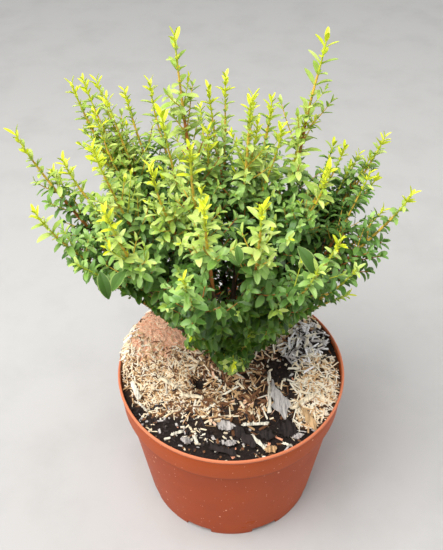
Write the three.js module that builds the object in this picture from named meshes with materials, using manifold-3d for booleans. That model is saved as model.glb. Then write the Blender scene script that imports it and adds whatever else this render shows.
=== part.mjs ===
// A Chinese privet in a 28 cm nursery pot, in millimetres, +Z up, on the flat underside of the pot.
// A short stem splits into boughs, and each bough carries one mass of leafy shoots.
import * as THREE from "three";
import { mergeVertices } from "three/addons/utils/BufferGeometryUtils.js";
import Module from "manifold-3d";

const wasm = await Module();
wasm.setup();

// Sizes of the pot
const rimRadius = 140;
const potHeight = 214;
const footRadius = 114;
const bandHeight = 40.5;
const bandStep = 4.2;
const bodyTopRadius = 133;
const beadHeight = 4;
const beadStep = 1.4;
const footBevel = 1.5;
const wall = 2.4;
const lipExtra = 0.6;
const floorThickness = 3;
const notchCount = 8;
const notchWidth = 34;
const notchHeight = 8;
const notchDepth = 28;
const potSides = 32;

// The space left between pieces that touch
const gap = 0.3;

// Sizes of the mulch, as a level with bumps and hollows on it
const soilLevel = 201;
const soilEdge = rimRadius - 2;
const soilBottomEdge = footRadius + 2;
const soilSkirt = 30;
const soilRings = 4;
const cornerSize = 16;
const bumps = [
  { x: -84, y: 60, rise: 24, spread: 45 },
  { x: 92, y: 66, rise: 15, spread: 30 },
  { x: 60, y: -20, rise: 5, spread: 40 },
  { x: 5, y: -115, rise: -5, spread: 45 },
];

// Sizes of the stem
const foot = new THREE.Vector3(-5, 20, 204);
const stemHeight = 58;
const stemLean = new THREE.Vector2(3, -2);
const stemRadius = 11.5;
const stemTopRadius = 9;
const flareRadius = 18;
const flareShare = 0.45;
const stemSides = 10;
const stemSteps = 8;
const seatMargin = 1.5;
const seatHeight = 60;
const seatSides = 16;

// Sizes of the limbs
const bend = 1.3;
const rootOffset = stemRadius * 0.8;
const stemCrown = 6;
const boughShare = 0.36;
const boughRootRadius = 3.5;
const boughTipRadius = 2.5;
const boughSides = 5;
const boughSteps = 2;

// Sizes of the shoots and twigs
const shootRadius = 2.1;
const shootTipRadius = 0.9;
const sideShootRadius = 1.7;
const shootSides = 3;
const shootSteps = 4;
const forkShare = 0.015;
const lowForkShare = 0.25;
const twigRadius = 1.5;
const twigLength = 52;
const twigAngle = 48;
const twigPairs = [{ share: 0.79, grown: 0.6, turn: 0 }, { share: 0.55, grown: 0.8, turn: 90 }];
const lowestTwigRise = 0.2;

// Sizes of the leaves, which stand in pairs
const leafLength = 43;
const tipLeafLength = 22;
const leafWidthShare = 0.54;
const leafWidest = 0.46;
const leafSink = 0.4;
const leafThickness = 2.4;
const leafAngle = 55;
const tipLeafAngle = 28;
const firstPair = 16.5;
const pairSpacing = 31;
const lastPair = 14;
const pairTurn = 90;
const turnSpread = 30;
const barePairs = 3;

// Spots of a leaf or twig that must have room, as shares of its length and of half its width
const leafSpots = [0.2, 0.35, 0.5, 0.65, 0.8, 1];
const leafEdges = [-0.9, -0.45, 0.45, 0.9];
const twigSpots = [0.3, 0.6, 0.9];
const clearance = 1.5;
const heightOverMulch = 4;
const pathSteps = 6;

// Limits of the joined surfaces, and the start of the scatter
const weldDistance = 1e-4;
const smallestEdge = 0.02;
const seed = 13;

// Each mass has a bough that leaves the stem at a height, and shoots of [bearing, reach, tip height].
// A bearing is in degrees from +X, anticlockwise from above, and a reach is measured from the stem.
const masses = {
  far_left: { from: 18, shoots: [[175, 211, 529], [-159, 193, 498], [168, 190, 470]] },
  left_top: { from: 34, shoots: [[156, 173, 556], [152, 150, 560]] },
  back_left: { from: 18, shoots: [[133, 165, 522], [123, 155, 527]] },
  back: { from: 31, shoots: [[100, 175, 472], [90, 128, 534]] },
  back_right: { from: 18, shoots: [[65, 121, 517], [72, 180, 465]] },
  right_back: { from: 31, shoots: [[22, 187, 492], [36, 150, 470]] },
  far_right: { from: 18, shoots: [[-6, 187, 480], [8, 153, 479]] },
  right_front: { from: 31, shoots: [[-44, 144, 490], [-30, 150, 430]] },
  front_right: { from: 18, shoots: [[-79, 142, 556], [-62, 165, 495]] },
  front: { from: 31, shoots: [[-98, 142, 557], [-101, 190, 522]] },
  front_left: { from: 18, shoots: [[-131, 159, 538], [-142, 180, 470]] },
  left: { from: 29, shoots: [[-173, 159, 523], [-157, 131, 557]] },
  tall_left: { from: 46, shoots: [[140, 63, 624], [180, 62, 562]] },
  centre_left: { from: 46, shoots: [[-119, 69, 562], [-134, 98, 549]] },
  tall_right: { from: 46, shoots: [[28, 108, 612], [-6, 101, 507]] },
  centre: { from: 54, shoots: [[41, 31, 563], [70, 85, 535]] },
};

// Low masses whose stems leave the stem's foot
const lowMasses = {
  low_front: { from: 8, shoots: [[-86, 80, 273], [-76, 98, 360], [-108, 75, 330]] },
  low_left: { from: 8, shoots: [[-159, 83, 322], [-129, 77, 295]] },
  low_right: { from: 8, shoots: [[-8, 145, 339], [-48, 96, 345]] },
  low_back: { from: 8, shoots: [[85, 115, 330], [125, 105, 318]] },
};

const terracotta = new THREE.MeshStandardMaterial({ color: 0xb35a38, roughness: 0.45, metalness: 0 });
const mulchBrown = new THREE.MeshStandardMaterial({ color: 0x9c8262, roughness: 1, metalness: 0 });
const barkBrown = new THREE.MeshStandardMaterial({ color: 0x6e5a45, roughness: 0.9, metalness: 0 });
const leafGreen = new THREE.MeshStandardMaterial({ color: 0x5f8a3a, roughness: 0.6, metalness: 0 });

const sideways = new THREE.Vector3(1, 0.2, 0);
const degrees = Math.PI / 180;
const plant = new THREE.Group();

// Joining and cutting

function toSolid(geometry) {
  const bare = geometry.clone();
  bare.deleteAttribute("normal");
  bare.deleteAttribute("uv");
  const merged = mergeVertices(bare, weldDistance);
  const vertProperties = new Float32Array(merged.attributes.position.array);
  const triVerts = new Uint32Array(merged.index.array);
  return new wasm.Manifold(new wasm.Mesh({ numProp: 3, vertProperties, triVerts }));
}

function toGeometry(solid) {
  const mesh = solid.getMesh();
  const geometry = new THREE.BufferGeometry();
  geometry.setAttribute("position", new THREE.BufferAttribute(mesh.vertProperties, 3));
  geometry.setIndex(new THREE.BufferAttribute(mesh.triVerts, 1));
  return geometry;
}

function addPiece(name, solid, material) {
  const mesh = new THREE.Mesh(toGeometry(solid), material);
  mesh.name = name;
  plant.add(mesh);
}

// A closed outline of [radius, height] pairs turned about Z
function turned(outline, sides) {
  const points = outline.map(([radius, height]) => new THREE.Vector2(radius, height));
  const geometry = new THREE.LatheGeometry(points, sides);
  return geometry.rotateX(Math.PI / 2);
}

// Pot

// The wall's inner side from the floor to the lip, moved inward by an amount
function innerWall(inward) {
  const bandFoot = potHeight - bandHeight + wall;
  return [
    [footRadius - wall - inward, floorThickness],
    [bodyTopRadius - wall - inward, bandFoot - bandStep],
    [bodyTopRadius + bandStep - wall - inward, bandFoot],
    [rimRadius - wall - lipExtra - inward, potHeight],
  ];
}

function makePot() {
  const bandFoot = potHeight - bandHeight;
  const outline = [
    [0, 0],
    [footRadius - footBevel, 0],
    [footRadius, footBevel],
    [bodyTopRadius, bandFoot],
    [bodyTopRadius + bandStep, bandFoot],
    [rimRadius - beadStep, potHeight - beadHeight],
    [rimRadius, potHeight - beadHeight],
    [rimRadius, potHeight],
    ...innerWall(0).reverse(),
    [0, floorThickness],
  ];
  let pot = toSolid(turned(outline, potSides));
  for (let i = 0; i < notchCount; i++) {
    const notch = new THREE.BoxGeometry(notchDepth, notchWidth, notchHeight * 2);
    notch.translate(footRadius, 0, 0);
    notch.rotateZ(((i + 0.5) / notchCount) * Math.PI * 2);
    pot = pot.subtract(toSolid(notch));
  }
  addPiece("pot", pot, terracotta);
}

// Mulch and soil

function mulchHeight(x, y) {
  let height = soilLevel;
  for (const bump of bumps) {
    const away = (x - bump.x) ** 2 + (y - bump.y) ** 2;
    height += bump.rise * Math.exp(-away / (2 * bump.spread ** 2));
  }
  return height;
}

function makeSoil() {
  const bottom = floorThickness + gap;
  const outline = [
    [0, bottom],
    [footRadius - wall - cornerSize, bottom],
    [soilBottomEdge, bottom + cornerSize],
    [soilEdge, soilLevel - soilSkirt],
  ];
  for (let ring = soilRings; ring >= 0; ring--) {
    outline.push([(soilEdge * ring) / soilRings, soilLevel]);
  }
  const blank = turned(outline, potSides);
  const spots = blank.attributes.position;
  for (let i = 0; i < spots.count; i++) {
    if (spots.getZ(i) > soilLevel - soilSkirt / 2) {
      spots.setZ(i, mulchHeight(spots.getX(i), spots.getY(i)));
    }
  }
  const wallSpace = turned([
    [footRadius - wall - gap, floorThickness],
    [rimRadius * 2, floorThickness],
    [rimRadius * 2, potHeight + gap],
    [rimRadius - wall - lipExtra - gap, potHeight + gap],
    ...innerWall(gap).reverse(),
  ], potSides);
  const seatRadius = flareRadius + seatMargin;
  const seat = new THREE.CylinderGeometry(seatRadius, seatRadius, seatHeight, seatSides);
  seat.rotateX(Math.PI / 2);
  seat.translate(foot.x, foot.y, foot.z - gap + seatHeight / 2);
  const soil = toSolid(blank).subtract(toSolid(wallSpace)).subtract(toSolid(seat));
  addPiece("soil", soil, mulchBrown);
}

// Limbs

// A limb rises evenly from its root to its tip, and runs outward fast at first:
// the height goes with t, and the distance from the stem with 1 - (1 - t)^bend.
class Limb extends THREE.Curve {
  constructor(from, [bearing, reach, top]) {
    super();
    const out = new THREE.Vector3(Math.cos(bearing * degrees), Math.sin(bearing * degrees), 0);
    this.root = new THREE.Vector3(foot.x + stemLean.x, foot.y + stemLean.y, foot.z + from);
    if (from < stemHeight - stemCrown) {
      this.root.addScaledVector(out, rootOffset);
    }
    this.tip = new THREE.Vector3(foot.x, foot.y, top).addScaledVector(out, reach);
  }

  getPoint(t, target = new THREE.Vector3()) {
    const out = 1 - Math.pow(1 - t, bend);
    target.x = this.root.x + (this.tip.x - this.root.x) * out;
    target.y = this.root.y + (this.tip.y - this.root.y) * out;
    target.z = this.root.z + (this.tip.z - this.root.z) * t;
    return target;
  }
}

// The part of a limb from share a to share b, drawn at its start towards another limb's point
class Stretch extends THREE.Curve {
  constructor(limb, a, b, start = null) {
    super();
    this.limb = limb;
    this.a = a;
    this.b = b;
    this.shift = start ? start.clone().sub(limb.getPoint(a)) : new THREE.Vector3();
  }

  getPoint(t, target = new THREE.Vector3()) {
    this.limb.getPoint(this.a + (this.b - this.a) * t, target);
    return target.addScaledVector(this.shift, (1 - t) ** 2);
  }
}

// A round or three-sided limb along a curve, as thick at share t as radiusAt(t)
function limbSolid(curve, radiusAt, sides, steps) {
  const geometry = new THREE.CylinderGeometry(1, 1, 1, sides, steps);
  const spots = geometry.attributes.position;
  for (let i = 0; i < spots.count; i++) {
    const t = THREE.MathUtils.clamp(spots.getY(i) + 0.5, 0, 1);
    const along = curve.getTangent(t);
    const side = sideways.clone().cross(along).normalize();
    const across = side.clone().cross(along);
    const radius = radiusAt(t);
    const spot = curve.getPoint(t);
    spot.addScaledVector(side, spots.getX(i) * radius);
    spot.addScaledVector(across, spots.getZ(i) * radius);
    spots.setXYZ(i, spot.x, spot.y, spot.z);
  }
  return toSolid(geometry);
}

const taper = (from, to) => (t) => from + (to - from) * t;
const boughRadiusAt = taper(boughRootRadius, boughTipRadius);

// The stem thins evenly, and its root flare dies away with the square of the height left to flareShare
function stemRadiusAt(t) {
  const flare = (flareRadius - stemRadius) * Math.pow(1 - Math.min(t / flareShare, 1), 2);
  return stemRadius + (stemTopRadius - stemRadius) * t + flare;
}

// The stem's middle line starts upright, so the foot is cut level, and then leans
function stemCurve(grow) {
  const start = new THREE.Vector3(foot.x, foot.y, foot.z - grow);
  const middle = new THREE.Vector3(foot.x, foot.y, foot.z + stemHeight / 2);
  const top = new THREE.Vector3(foot.x + stemLean.x, foot.y + stemLean.y, foot.z + stemHeight + grow);
  return new THREE.QuadraticBezierCurve3(start, middle, top);
}

function stemSolid(grow) {
  return limbSolid(stemCurve(grow), (t) => stemRadiusAt(t) + grow, stemSides, stemSteps);
}

// A number from 0 to 1 that is the same each time for the same place in the crown
function scatter(...place) {
  const [firstWeight, nextWeight, waveHeight] = [12.9898, 65.233, 43758.5453];
  let sum = seed;
  place.forEach((value, i) => {
    sum += value * (firstWeight + nextWeight * i);
  });
  const wave = Math.sin(sum) * waveHeight;
  return wave - Math.floor(wave);
}

// Leaves

// A flattened eight-faced blade whose root lies inside its twig, with the spots where it is tested for room
function makeLeaf(root, direction, twigDirection, length) {
  const leaf = new THREE.OctahedronGeometry(1, 0);
  const side = twigDirection.clone().cross(direction).normalize();
  const face = direction.clone().cross(side);
  const halfWidth = (length * leafWidthShare) / 2;
  const spots = leaf.attributes.position;
  for (let i = 0; i < spots.count; i++) {
    const share = spots.getX(i) === 0 ? leafWidest : (spots.getX(i) + 1) / 2;
    const spot = root.clone().addScaledVector(direction, share * length - leafSink);
    spot.addScaledVector(side, spots.getY(i) * halfWidth);
    spot.addScaledVector(face, spots.getZ(i) * leafThickness / 2);
    spots.setXYZ(i, spot.x, spot.y, spot.z);
  }
  const tested = leafSpots.map((share) => root.clone().addScaledVector(direction, share * length));
  const middle = root.clone().addScaledVector(direction, leafWidest * length);
  for (const edge of leafEdges) {
    tested.push(middle.clone().addScaledVector(side, edge * halfWidth));
  }
  return { solid: toSolid(leaf), spots: tested };
}

// A direction at an angle to the one along a limb, turned round it by a bearing of its own
function turnedAway(along, turn, angle) {
  const side = sideways.clone().cross(along).normalize();
  side.applyAxisAngle(along, turn * degrees).multiplyScalar(Math.sin(angle * degrees));
  return side.addScaledVector(along, Math.cos(angle * degrees));
}

// The spot at share t on the straight pieces that a limb's solid is made of
function spotOnSteps(curve, t, steps) {
  const step = Math.min(Math.floor(t * steps), steps - 1);
  const start = curve.getPoint(step / steps);
  return start.lerp(curve.getPoint((step + 1) / steps), t * steps - step);
}

// The distance from a spot to a limb's surface, from points along its middle
function distanceTo(spot, path) {
  let least = Infinity;
  for (let i = 1; i < path.length; i++) {
    const line = new THREE.Line3(path[i - 1].spot, path[i].spot);
    const near = line.closestPointToPointParameter(spot, true);
    const close = line.at(near, new THREE.Vector3());
    const radius = THREE.MathUtils.lerp(path[i - 1].radius, path[i].radius, near);
    least = Math.min(least, close.distanceTo(spot) - radius);
  }
  return least;
}

function middleOf(curve, radiusAt, steps) {
  return Array.from({ length: steps + 1 }, (_, i) => ({
    spot: curve.getPoint(i / steps),
    radius: radiusAt(i / steps),
  }));
}

// Growing

// The limb that runs through the middle of a mass's shoots
function meanLimb(mass) {
  const limbs = mass.shoots.map((shoot) => new Limb(mass.from, shoot));
  const limb = new Limb(mass.from, mass.shoots[0]);
  limb.root.set(0, 0, 0);
  limb.tip.set(0, 0, 0);
  limbs.forEach((other) => {
    limb.root.addScaledVector(other.root, 1 / limbs.length);
    limb.tip.addScaledVector(other.tip, 1 / limbs.length);
  });
  return limb;
}

// A mass's bough and shoots: the first shoot goes on from the bough, and the others fork off the first
function planMass(name, mass, isLow) {
  const limb = meanLimb(mass);
  const cut = isLow ? 0 : boughShare;
  const forkAt = isLow ? lowForkShare : forkShare;
  const plan = { name, isLow, shoots: [], bough: null };
  if (!isLow) {
    plan.bough = new Stretch(limb, 0, boughShare);
    plan.boughPath = middleOf(plan.bough, boughRadiusAt, pathSteps);
  }
  const start = limb.getPoint(cut);
  if (!isLow) {
    start.addScaledVector(limb.getTangent(cut), gap);
  }
  mass.shoots.forEach((shoot, index) => {
    const own = new Limb(mass.from, shoot);
    const from = index ? cut + forkAt : cut;
    const fork = index ? plan.shoots[0].curve.getPoint(forkAt / (1 - cut)) : start;
    const curve = new Stretch(own, from, 1, isLow && index === 0 ? null : fork);
    const leaderRadius = isLow ? shootRadius : boughTipRadius;
    const radiusAt = taper(index ? sideShootRadius : leaderRadius, shootTipRadius);
    plan.shoots.push({ curve, radiusAt, path: middleOf(curve, radiusAt, shootSteps) });
  });
  return plan;
}

// A mass's twigs and leaves, grown in order along each shoot wherever they keep to the mass's own space
function growMass(plan, plans, index) {
  const others = plans.filter((other) => other !== plan);
  const own = plan.shoots.map((shoot) => shoot.path);
  const away = others.flatMap((other) => other.shoots.map((shoot) => shoot.path));
  const boughs = plans.filter((other) => other.bough).map((other) => other.boughPath);
  boughs.push(middleOf(stemCurve(0), stemRadiusAt, pathSteps));
  const keepsItsSpace = (spots) => spots.every((spot) => {
    const near = Math.min(...own.map((path) => distanceTo(spot, path)));
    const lowest = Math.max(mulchHeight(spot.x, spot.y), potHeight) + heightOverMulch;
    return spot.z > lowest
      && away.every((path) => distanceTo(spot, path) > near + clearance)
      && boughs.every((path) => distanceTo(spot, path) > clearance);
  });
  const parts = [];
  const grow = (solid, carriers) => {
    const inTheWay = parts.filter((part) => !carriers.includes(part));
    const blocked = inTheWay.some((part) => !part.intersect(solid).isEmpty());
    if (!blocked) {
      parts.push(solid);
    }
    return !blocked;
  };

  const growPair = (carrier, root, along, turn, grown) => {
    const angle = THREE.MathUtils.lerp(tipLeafAngle, leafAngle, grown);
    const size = THREE.MathUtils.lerp(tipLeafLength, leafLength, grown);
    const carriers = [carrier];
    for (const half of [0, 180]) {
      const leaf = makeLeaf(root, turnedAway(along, turn + half, angle), along, size);
      if (keepsItsSpace(leaf.spots) && grow(leaf.solid, carriers)) {
        carriers.push(leaf.solid);
      }
    }
  };

  // A twig is one short straight piece with leaves in pairs, and grows only where it has room
  const growTwig = (carrier, root, along, turn, place) => {
    const length = twigLength * (0.75 + 0.5 * scatter(...place, 1));
    const direction = turnedAway(along, turn, twigAngle);
    const tip = root.clone().addScaledVector(direction, length);
    const line = new THREE.LineCurve3(root, tip);
    const twig = limbSolid(line, taper(twigRadius, shootTipRadius), shootSides, 1);
    const spots = twigSpots.map((share) => line.getPoint(share));
    const hasRoom = direction.z > lowestTwigRise && keepsItsSpace(spots);
    if (!hasRoom || !grow(twig, carrier)) {
      return false;
    }
    for (const pair of twigPairs) {
      growPair(twig, line.getPoint(pair.share), direction, turn + pair.turn, pair.grown);
    }
    carrier.push(twig);
    return true;
  };

  const stems = plan.shoots.map((shoot) => limbSolid(shoot.curve, shoot.radiusAt, shootSides, shootSteps));
  parts.push(...stems);
  plan.shoots.forEach((shoot, shootIndex) => {
    const length = shoot.curve.getLength();
    const pairs = Math.floor((length - firstPair - lastPair) / pairSpacing);
    for (let pair = 0; pair <= pairs; pair++) {
      const share = 1 - (firstPair + pair * pairSpacing) / length;
      const root = spotOnSteps(shoot.curve, shoot.curve.getUtoTmapping(share), shootSteps);
      const along = shoot.curve.getTangentAt(share);
      const place = [index, shootIndex, pair];
      const turn = pair * pairTurn + 360 * scatter(index, shootIndex) + turnSpread * scatter(...place);
      const carrier = [stems[shootIndex]];
      if (pair >= barePairs && growTwig(carrier, root, along, turn, place)) {
        growTwig(carrier, root, along, turn + 180, [...place, 2]);
      } else {
        growPair(stems[shootIndex], root, along, turn, Math.min(pair / barePairs, 1));
      }
    }
  });
  return wasm.Manifold.union(parts);
}

makePot();
makeSoil();
addPiece("stem", stemSolid(0), barkBrown);

const stemSpace = stemSolid(gap);
const plans = [
  ...Object.entries(masses).map(([name, mass]) => planMass(name, mass, false)),
  ...Object.entries(lowMasses).map(([name, mass]) => planMass(name, mass, true)),
];
plans.forEach((plan, index) => {
  let limbSpace = stemSpace;
  if (plan.bough) {
    const bough = limbSolid(plan.bough, boughRadiusAt, boughSides, boughSteps);
    addPiece(`bough_${plan.name}`, bough.subtract(stemSpace), barkBrown);
    const longer = new Stretch(plan.bough.limb, 0, boughShare + gap / plan.bough.limb.getLength());
    limbSpace = limbSolid(longer, (t) => boughRadiusAt(t) + gap, boughSides, boughSteps);
  }
  const mass = growMass(plan, plans, index).subtract(limbSpace).simplify(smallestEdge);
  addPiece(`foliage_${plan.name}`, mass, leafGreen);
});

export default plant;
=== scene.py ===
import math

import bpy
import numpy as np
from mathutils import Euler, Matrix, Vector


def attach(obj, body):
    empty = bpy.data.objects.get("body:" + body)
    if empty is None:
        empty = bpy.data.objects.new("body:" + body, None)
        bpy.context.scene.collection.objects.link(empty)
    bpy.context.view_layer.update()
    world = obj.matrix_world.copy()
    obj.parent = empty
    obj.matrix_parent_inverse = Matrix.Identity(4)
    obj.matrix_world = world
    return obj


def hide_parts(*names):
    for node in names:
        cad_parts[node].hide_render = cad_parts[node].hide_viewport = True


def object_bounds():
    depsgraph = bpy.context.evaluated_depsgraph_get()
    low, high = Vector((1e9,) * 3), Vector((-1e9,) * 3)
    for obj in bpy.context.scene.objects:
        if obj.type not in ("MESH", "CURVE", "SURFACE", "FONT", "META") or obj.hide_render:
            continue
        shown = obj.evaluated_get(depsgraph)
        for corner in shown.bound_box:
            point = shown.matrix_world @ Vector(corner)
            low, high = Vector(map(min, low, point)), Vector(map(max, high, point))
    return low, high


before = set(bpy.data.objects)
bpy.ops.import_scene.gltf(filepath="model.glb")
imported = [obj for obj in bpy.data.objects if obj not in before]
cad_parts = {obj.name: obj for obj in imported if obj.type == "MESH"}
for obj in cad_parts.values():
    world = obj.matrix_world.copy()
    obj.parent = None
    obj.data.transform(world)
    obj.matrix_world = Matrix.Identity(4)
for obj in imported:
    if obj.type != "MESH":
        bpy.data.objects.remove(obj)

cadLow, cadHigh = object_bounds()
mm = 0.001  # the scene is in metres, and a size below is in millimetres where it doesn't say metres
print("frame loaded:", len(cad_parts), "nodes")

# The pot and mulch, with the same sizes as the solids
potSizes = {
    "rimRadius": 140.0, "height": 214.0, "footRadius": 114.0,
    "bandHeight": 40.5, "bandStep": 4.2, "bodyTopRadius": 133.0,
    "wall": 2.4, "lipExtra": 0.6, "floorThickness": 3.0, "footBevel": 1.5,
    "notchCount": 8, "notchHalfAngle": 8.6, "notchHeight": 8.0, "notchInner": 100.0,
}
mulchSizes = {  # bumps and hollows are (x, y, height, spread), and bare places (x, y, radius)
    "level": 201.0, "edge": 140.4, "rings": 150, "columns": 420, "ringPower": 0.85,
    "bumps": [(-84, 60, 24, 45), (92, 66, 15, 30), (60, -20, 5, 40), (5, -115, -5, 45), (-130, 34, 12, 26)],
    "hollows": [(-39, -20, 11, 7), (-47, -6, 4, 6), (66, 2, 3, 14), (-112, -52, 3, 16)],
    "bare": [(-39, -20, 13), (62, -4, 19)], "spill": (214.6, 1.4), "spillSpan": 2.0, "wallGap": 0.25,
    # How far the edges of a kind of mulch wander and over what distance, and how flat its middle is
    "wander": [(7, 16), (3, 6)], "spotFall": 0.7,
    # How far the surface rises and falls, how much more where chips lie, and over what distance
    "grit": [(1.6, 0, 17), (0.9, 0.4, 6), (0.6, 0.2, 2.6), (0.25, 0, 1.2)],
    # Rows down the pot's inner wall: how far under the bed's edge, and the greatest height
    "skirts": [(0.8, 214.1), (5.0, 209.0), (5.0, 150.0), (5.0, 26.0)],
    "floorRadius": 88.0, "floorGap": 0.3,
}

# The plant's limbs, with the same sizes as the solids
plantSizes = {
    "foot": (-5.0, 20.0, 204.0), "stemHeight": 58.0, "stemLean": (3.0, -2.0),
    "stemRadius": 11.5, "stemTopRadius": 9.0, "flareRadius": 18.0, "flareShare": 0.45,
    "bend": 1.3, "rootOffset": 9.2, "stemCrown": 6.0, "boughShare": 0.36,
    "boughRootRadius": 3.5, "boughTipRadius": 2.5, "shootRadius": 1.9, "sideShootRadius": 1.6,
    "shootTipRadius": 0.6, "forkShare": 0.015, "lowForkShare": 0.25,
    "sway": (1.2, 1.2, 0.4), "seed": 7, "innerStart": 0.45, "innerRootDrop": 10.0, "innerSeed": 17,
}

# Each mass leaves the stem at a height, and has shoots of (bearing, reach, tip height). The low masses have
# no bough
masses = {
    "far_left": (18, [(175, 211, 529), (-159, 193, 498), (168, 190, 470)]),
    "left_top": (34, [(156, 173, 556), (152, 150, 560)]),
    "back_left": (18, [(133, 165, 522), (123, 155, 527)]),
    "back": (31, [(100, 175, 472), (90, 128, 534)]),
    "back_right": (18, [(65, 121, 517), (72, 180, 465)]),
    "right_back": (31, [(22, 187, 492), (36, 150, 470)]),
    "far_right": (18, [(-6, 187, 480), (8, 153, 479)]),
    "right_front": (31, [(-44, 144, 490), (-30, 150, 430)]),
    "front_right": (18, [(-79, 142, 556), (-62, 165, 495)]),
    "front": (31, [(-98, 142, 557), (-101, 190, 522)]),
    "front_left": (18, [(-131, 159, 538), (-142, 180, 470)]),
    "left": (29, [(-173, 159, 523), (-157, 131, 557)]),
    "tall_left": (46, [(140, 63, 624), (180, 62, 562)]),
    "centre_left": (46, [(-119, 69, 562), (-134, 98, 549)]),
    "tall_right": (46, [(28, 108, 612), (-6, 101, 507)]),
    "centre": (54, [(41, 31, 563), (70, 85, 535)]),
}
lowMasses = {
    "low_front": (8, [(-86, 80, 273), (-76, 98, 360), (-108, 75, 330)]),
    "low_left": (8, [(-159, 83, 322), (-129, 77, 295)]),
    "low_right": (8, [(-8, 145, 339), (-48, 96, 345)]),
    "low_back": (8, [(85, 115, 330), (125, 105, 318)]),
}


# Camera, floor and light

cameraLook = {
    "place": (-10.9, -564.1, 886.0), "tilt": 42.74, "roll": 0.44,
    "focalPixels": 700.0, "photoHeight": 550.0, "sensor": 36.0,
}
stageLook = {
    "floorSize": 8.0, "floor": (186, 184, 181), "mottle": 6, "mottleScale": 9.0, "roughness": 0.85,
    "specular": 0.2, "sky": (222, 225, 228), "skyStrength": 0.7, "aim": (0, 0, 0.35),
    "lamps": [  # name, place in metres, width in metres, watts
        ("softbox_above", (-0.7, -0.5, 2.3), 1.7, 75.0),
        ("softbox_left", (-2.0, -0.9, 1.3), 1.2, 9.0),
        ("softbox_right", (1.9, 0.5, 1.5), 1.4, 12.0),
    ],
}


def srgb(color):
    # A screen colour of 0 to 255 as the linear numbers that a shader takes
    share = np.array(color, float) / 255
    linear = np.where(share <= 0.04045, share / 12.92, ((share + 0.055) / 1.055) ** 2.4)
    return (*linear.tolist(), 1.0)


def makeCamera():
    lens = bpy.data.cameras.new("camera")
    lens.sensor_width = cameraLook["sensor"]
    lens.lens = cameraLook["focalPixels"] * cameraLook["sensor"] / cameraLook["photoHeight"]
    camera = bpy.data.objects.new("camera", lens)
    bpy.context.scene.collection.objects.link(camera)
    tilt = Euler((math.radians(90 - cameraLook["tilt"]), 0, 0)).to_matrix()
    roll = Euler((0, 0, -math.radians(cameraLook["roll"]))).to_matrix()
    place = Matrix.Translation(Vector(cameraLook["place"]) * mm)
    camera.matrix_world = place @ (tilt @ roll).to_4x4()
    bpy.context.scene.camera = camera


def makeStage():
    look = stageLook
    half = look["floorSize"] / 2
    mesh = bpy.data.meshes.new("floor")
    corners = [(-half, -half, 0), (half, -half, 0), (half, half, 0), (-half, half, 0)]
    mesh.from_pydata(corners, [], [(0, 1, 2, 3)])
    floor = bpy.data.objects.new("floor", mesh)
    bpy.context.scene.collection.objects.link(floor)
    material, tree, shader = newMaterial("pale_floor", look["roughness"], look["specular"])
    darker = tuple(c - look["mottle"] for c in look["floor"])
    mottle = mottled(tree, look["floor"], darker, look["mottleScale"])
    tree.links.new(mottle.outputs["Colour"], shader.inputs["Base Color"])
    mesh.materials.append(material)
    world = bpy.data.worlds.new("overcast")
    world.use_nodes = True
    background = world.node_tree.nodes["Background"]
    background.inputs["Color"].default_value = srgb(look["sky"])
    background.inputs["Strength"].default_value = look["skyStrength"]
    bpy.context.scene.world = world
    for name, place, width, watts in look["lamps"]:
        light = bpy.data.lights.new(name, "AREA")
        light.size = width
        light.energy = watts
        lamp = bpy.data.objects.new(name, light)
        bpy.context.scene.collection.objects.link(lamp)
        lamp.location = place
        towards = Vector(look["aim"]) - Vector(place)
        lamp.rotation_euler = towards.to_track_quat("-Z", "Y").to_euler()
    bpy.context.scene.view_settings.view_transform = "Standard"


# Shader groups that several materials share

# The noise runs from low + lowGain times sharpness up to high
mottleRule = {"detail": 5.0, "roughness": 0.6, "low": 0.28, "lowGain": 0.9, "high": 0.7}


def newGroup(name, sockets):
    # Sockets are rows of way, name, kind and value
    tree = bpy.data.node_groups.new(name, "ShaderNodeTree")
    for way, socketName, kind, value in sockets:
        socket = tree.interface.new_socket(socketName, in_out=way, socket_type=kind)
        if value is not None:
            socket.default_value = value
    return tree, tree.nodes.new("NodeGroupInput"), tree.nodes.new("NodeGroupOutput")


def mathNode(tree, operation, kind="ShaderNodeMath"):
    node = tree.nodes.new(kind)
    node.operation = operation
    return node


def stretchedPlace(tree, inward):
    # The object's coordinates times a group's three stretch factors
    place = tree.nodes.new("ShaderNodeTexCoord")
    stretch = mathNode(tree, "MULTIPLY", "ShaderNodeVectorMath")
    tree.links.new(place.outputs["Object"], stretch.inputs[0])
    tree.links.new(inward.outputs["Stretch"], stretch.inputs[1])
    return stretch.outputs[0]


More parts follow.
